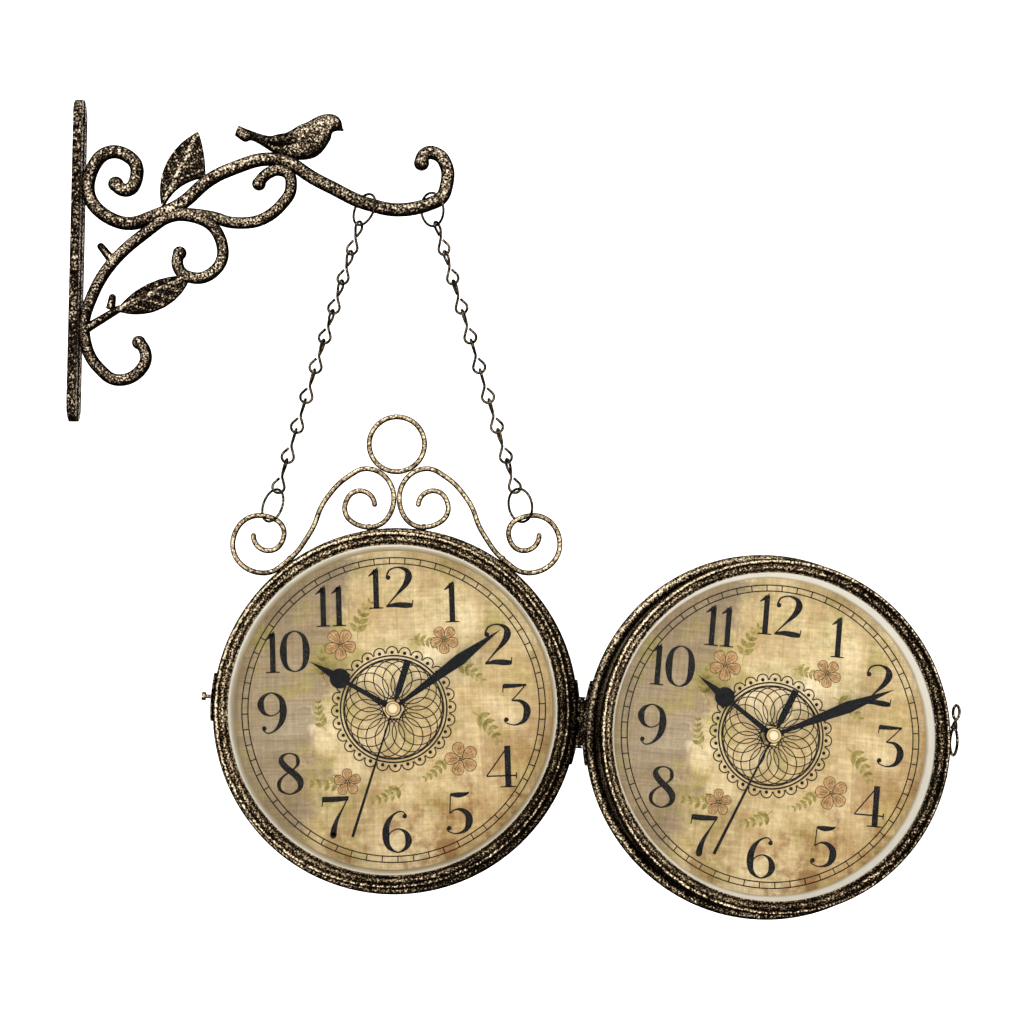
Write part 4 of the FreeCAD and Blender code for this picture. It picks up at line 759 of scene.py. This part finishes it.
for clock in clocks:
    cap_brass, cap_tree, cap_shader = finish_of(clock + "_cap_brass", metallic=0.8, roughness=0.32)
    cap_place = node(cap_tree, "TexCoord").outputs["Object"]
    dust = node(cap_tree, "TexNoise", {"Vector": cap_place, "Scale": 1800, "Detail": 3})
    reach = between(cap_tree, reach_of(cap_tree, cap_place, places[clock]), 0.0, CAP_REACH, 0.0, 1.0)
    reach = sum_of(cap_tree, reach, between(cap_tree, dust.outputs["Fac"], 0.3, 0.7, -0.03, 0.03))
    cap_tree.links.new(ramp(cap_tree, reach, ((0.0, (0.74, 0.62, 0.42)), (0.48, (0.70, 0.57, 0.36)),
                                              (0.62, (0.20, 0.115, 0.040)), (0.74, (0.66, 0.48, 0.22)),
                                              (1.0, (0.30, 0.19, 0.075)))),
                       cap_shader.inputs["Base Color"])
    dress([clock + "_second_arbor"], cap_brass)


# Needle blades: the second hand grows wider to its tip. Each blade is black sheet like the hand, a little
# wider and thicker than the needle, and is glued over it.

BLADE_START = 5.0 * MM
BLADE_HALF_START = 0.48 * MM
BLADE_HALF_TIP = 0.85 * MM
BLADE_PROUD = 0.05 * MM
for clock in clocks:
    needle = frame["nodes"][clock + "_second_hand"].data
    points = [places[clock].inverted() @ vertex.co for vertex in needle.vertices]
    tip = max(points, key=lambda point: point.xz.length).xz
    along = tip.normalized()
    across = Vector((-along.y, along.x))
    rows = [along * BLADE_START + across * BLADE_HALF_START, along * BLADE_START - across * BLADE_HALF_START,
            tip - across * BLADE_HALF_TIP, tip + across * BLADE_HALF_TIP]
    depths = (min(point.y for point in points) - BLADE_PROUD, max(point.y for point in points) + BLADE_PROUD)
    vertices = [(row.x, depth, row.y) for depth in depths for row in rows]
    faces = [(0, 1, 2, 3), (7, 6, 5, 4), (0, 4, 5, 1), (1, 5, 6, 2), (2, 6, 7, 3), (3, 7, 4, 0)]
    set_piece(clock + "_needle_blade", vertices, faces, black_paint, places[clock], clock + "_second_hand",
              "black_hands")


# Latch clasp: a long spring loop, a cast neck and a finger ring, of dark bronze wire, riveted to the outside
# of the latch. They stand off the rim, so that a finger can get behind the ring.

CLASP_WIRE = 0.95 * MM
WIRE_SIDES = 14
OVAL_STEPS = 56
SPRING_LOOP = (3.8 * MM, 4.5 * MM, 2.3 * MM, 8.0 * MM)
FINGER_RING = (4.6 * MM, 22.6 * MM, 2.0 * MM, 4.2 * MM)
NECK_LINE = ((3.7 * MM, 11.6 * MM), (3.7 * MM, 13.2 * MM), (4.6 * MM, 18.0 * MM))
NECK_RADII = (1.5 * MM, 2.3 * MM, 0.9 * MM)


def wire(line, radii, closed):
    """Round wire along (x, z) points: vertices and faces."""
    count = len(line)
    vertices = []
    for index, (x, z) in enumerate(line):
        x0, z0 = line[index - 1] if closed else line[max(index - 1, 0)]
        x1, z1 = line[(index + 1) % count] if closed else line[min(index + 1, count - 1)]
        length = math.hypot(x1 - x0, z1 - z0)
        for side in range(WIRE_SIDES):
            turn = 2 * math.pi * side / WIRE_SIDES
            out = radii[index] * math.cos(turn)
            vertices.append((x + out * (z1 - z0) / length, radii[index] * math.sin(turn),
                             z - out * (x1 - x0) / length))
    faces = []
    for index in range(count if closed else count - 1):
        near = index * WIRE_SIDES
        far = (index + 1) % count * WIRE_SIDES
        faces += [(near + side, near + (side + 1) % WIRE_SIDES, far + (side + 1) % WIRE_SIDES, far + side)
                  for side in range(WIRE_SIDES)]
    if not closed:
        faces += [tuple(range(WIRE_SIDES)), tuple(range((count - 1) * WIRE_SIDES, count * WIRE_SIDES))]
    return vertices, faces


def oval(x, z, half_width, half_height):
    """Points round an oval."""
    turns = [2 * math.pi * step / OVAL_STEPS for step in range(OVAL_STEPS)]
    return [(x + half_width * math.cos(turn), z + half_height * math.sin(turn)) for turn in turns]


pivot_low, pivot_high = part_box("latch_pivot")
outward = Vector(joints["latch_turn"]["axis"])
upward = (Vector((0, 0, 1)) - outward * outward.z).normalized()
clasp_place = Matrix.Translation((Vector(pivot_low) + Vector(pivot_high)) / 2) @ Matrix(
    (outward, upward.cross(outward), upward)).transposed().to_4x4()
clasp_forms = {"spring_loop": (oval(*SPRING_LOOP), [CLASP_WIRE] * OVAL_STEPS, True),
               "finger_ring": (oval(*FINGER_RING), [CLASP_WIRE] * OVAL_STEPS, True),
               "clasp_neck": (NECK_LINE, NECK_RADII, False)}
for name, form in clasp_forms.items():
    clasp = set_piece("latch_" + name, *wire(*form), fitting_bronze, clasp_place, "latch", "bronze_case")
    clasp.data.shade_smooth()


# Floor, light and camera: a wide pale sweep with a far rim, so the ground is pale from every side, soft light
# from above, left and right, and the photograph's view, from a little below the middle of the clock.

FLOOR_DROP = 0.16
SWEEP_FRONT = -20.0
SWEEP_BACK = 2.6
SWEEP_BEND = 1.2
SWEEP_RISE = 8.0
SWEEP_HALF_WIDTH = 20.0
HORIZON_RADIUS = 18.0
HORIZON_RISE = 2.8
HORIZON_STEPS = 96
CAMERA_PLACE = Vector((0.2725, -1.30, -0.3044))
CAMERA_AIM = Vector((0.2708, 0.0, -0.1567))
CAMERA_LENS = 75.6
BEND_STEPS = 12
SKY_STRENGTH = 0.55
floor_level = cad_box[0].z - FLOOR_DROP
profile = [(SWEEP_FRONT, floor_level)]
for step in range(BEND_STEPS + 1):
    turn = math.pi / 2 * step / BEND_STEPS
    profile.append((SWEEP_BACK - SWEEP_BEND + SWEEP_BEND * math.sin(turn),
                    floor_level + SWEEP_BEND - SWEEP_BEND * math.cos(turn)))
profile.append((SWEEP_BACK, SWEEP_RISE))
sweep_mesh = bpy.data.meshes.new("sweep")
sweep_points = [(x, y, z) for y, z in profile for x in (-SWEEP_HALF_WIDTH, SWEEP_HALF_WIDTH)]
sweep_faces = [(2 * i, 2 * i + 1, 2 * i + 3, 2 * i + 2) for i in range(len(profile) - 1)]
first = len(sweep_points)
for step in range(HORIZON_STEPS):
    turn = 2 * math.pi * step / HORIZON_STEPS
    near = first + 2 * step
    far = first + 2 * ((step + 1) % HORIZON_STEPS)
    x, y = HORIZON_RADIUS * math.cos(turn), HORIZON_RADIUS * math.sin(turn)
    sweep_points += [(x, y, floor_level), (x, y, floor_level + HORIZON_RISE)]
    sweep_faces.append((near, near + 1, far + 1, far))
sweep_mesh.from_pydata(sweep_points, [], sweep_faces)
sweep_mesh.shade_smooth()
pale_paint = finish_of("pale_paint", base_color=(0.93, 0.93, 0.93, 1), roughness=0.9,
                       emission_color=(1, 1, 1, 1), emission_strength=0.6)[0]
sweep_mesh.materials.append(pale_paint)
sweep = bpy.data.objects.new("sweep", sweep_mesh)
bpy.context.scene.collection.objects.link(sweep)

world = bpy.data.worlds.new("studio")
bpy.context.scene.world = world
world.use_nodes = True
world.node_tree.nodes["Background"].inputs["Color"].default_value = (1, 1, 1, 1)
world.node_tree.nodes["Background"].inputs["Strength"].default_value = SKY_STRENGTH


def soft_light(name, place, size, power):
    """Area light aimed at the middle of the clock."""
    lamp = bpy.data.lights.new(name, "AREA")
    lamp.shape = "RECTANGLE"
    lamp.size, lamp.size_y = size
    lamp.energy = power
    made = bpy.data.objects.new(name, lamp)
    bpy.context.scene.collection.objects.link(made)
    made.location = place
    made.rotation_euler = (CAMERA_AIM - Vector(place)).to_track_quat("-Z", "Y").to_euler()


soft_light("key", (-0.4, -1.5, 1.3), (0.7, 0.5), 17.5)
soft_light("fill", (1.5, -1.2, 0.4), (0.8, 0.8), 9)
soft_light("back", (0.3, 1.6, 1.0), (1.2, 0.8), 14)

camera = bpy.data.cameras.new("camera")
camera.lens = CAMERA_LENS
camera.sensor_width = 36
camera_object = bpy.data.objects.new("camera", camera)
bpy.context.scene.collection.objects.link(camera_object)
camera_object.location = CAMERA_PLACE
camera_object.rotation_euler = (CAMERA_AIM - CAMERA_PLACE).to_track_quat("-Z", "Y").to_euler()
bpy.context.scene.camera = camera_object
bpy.context.scene.view_settings.view_transform = "Standard"
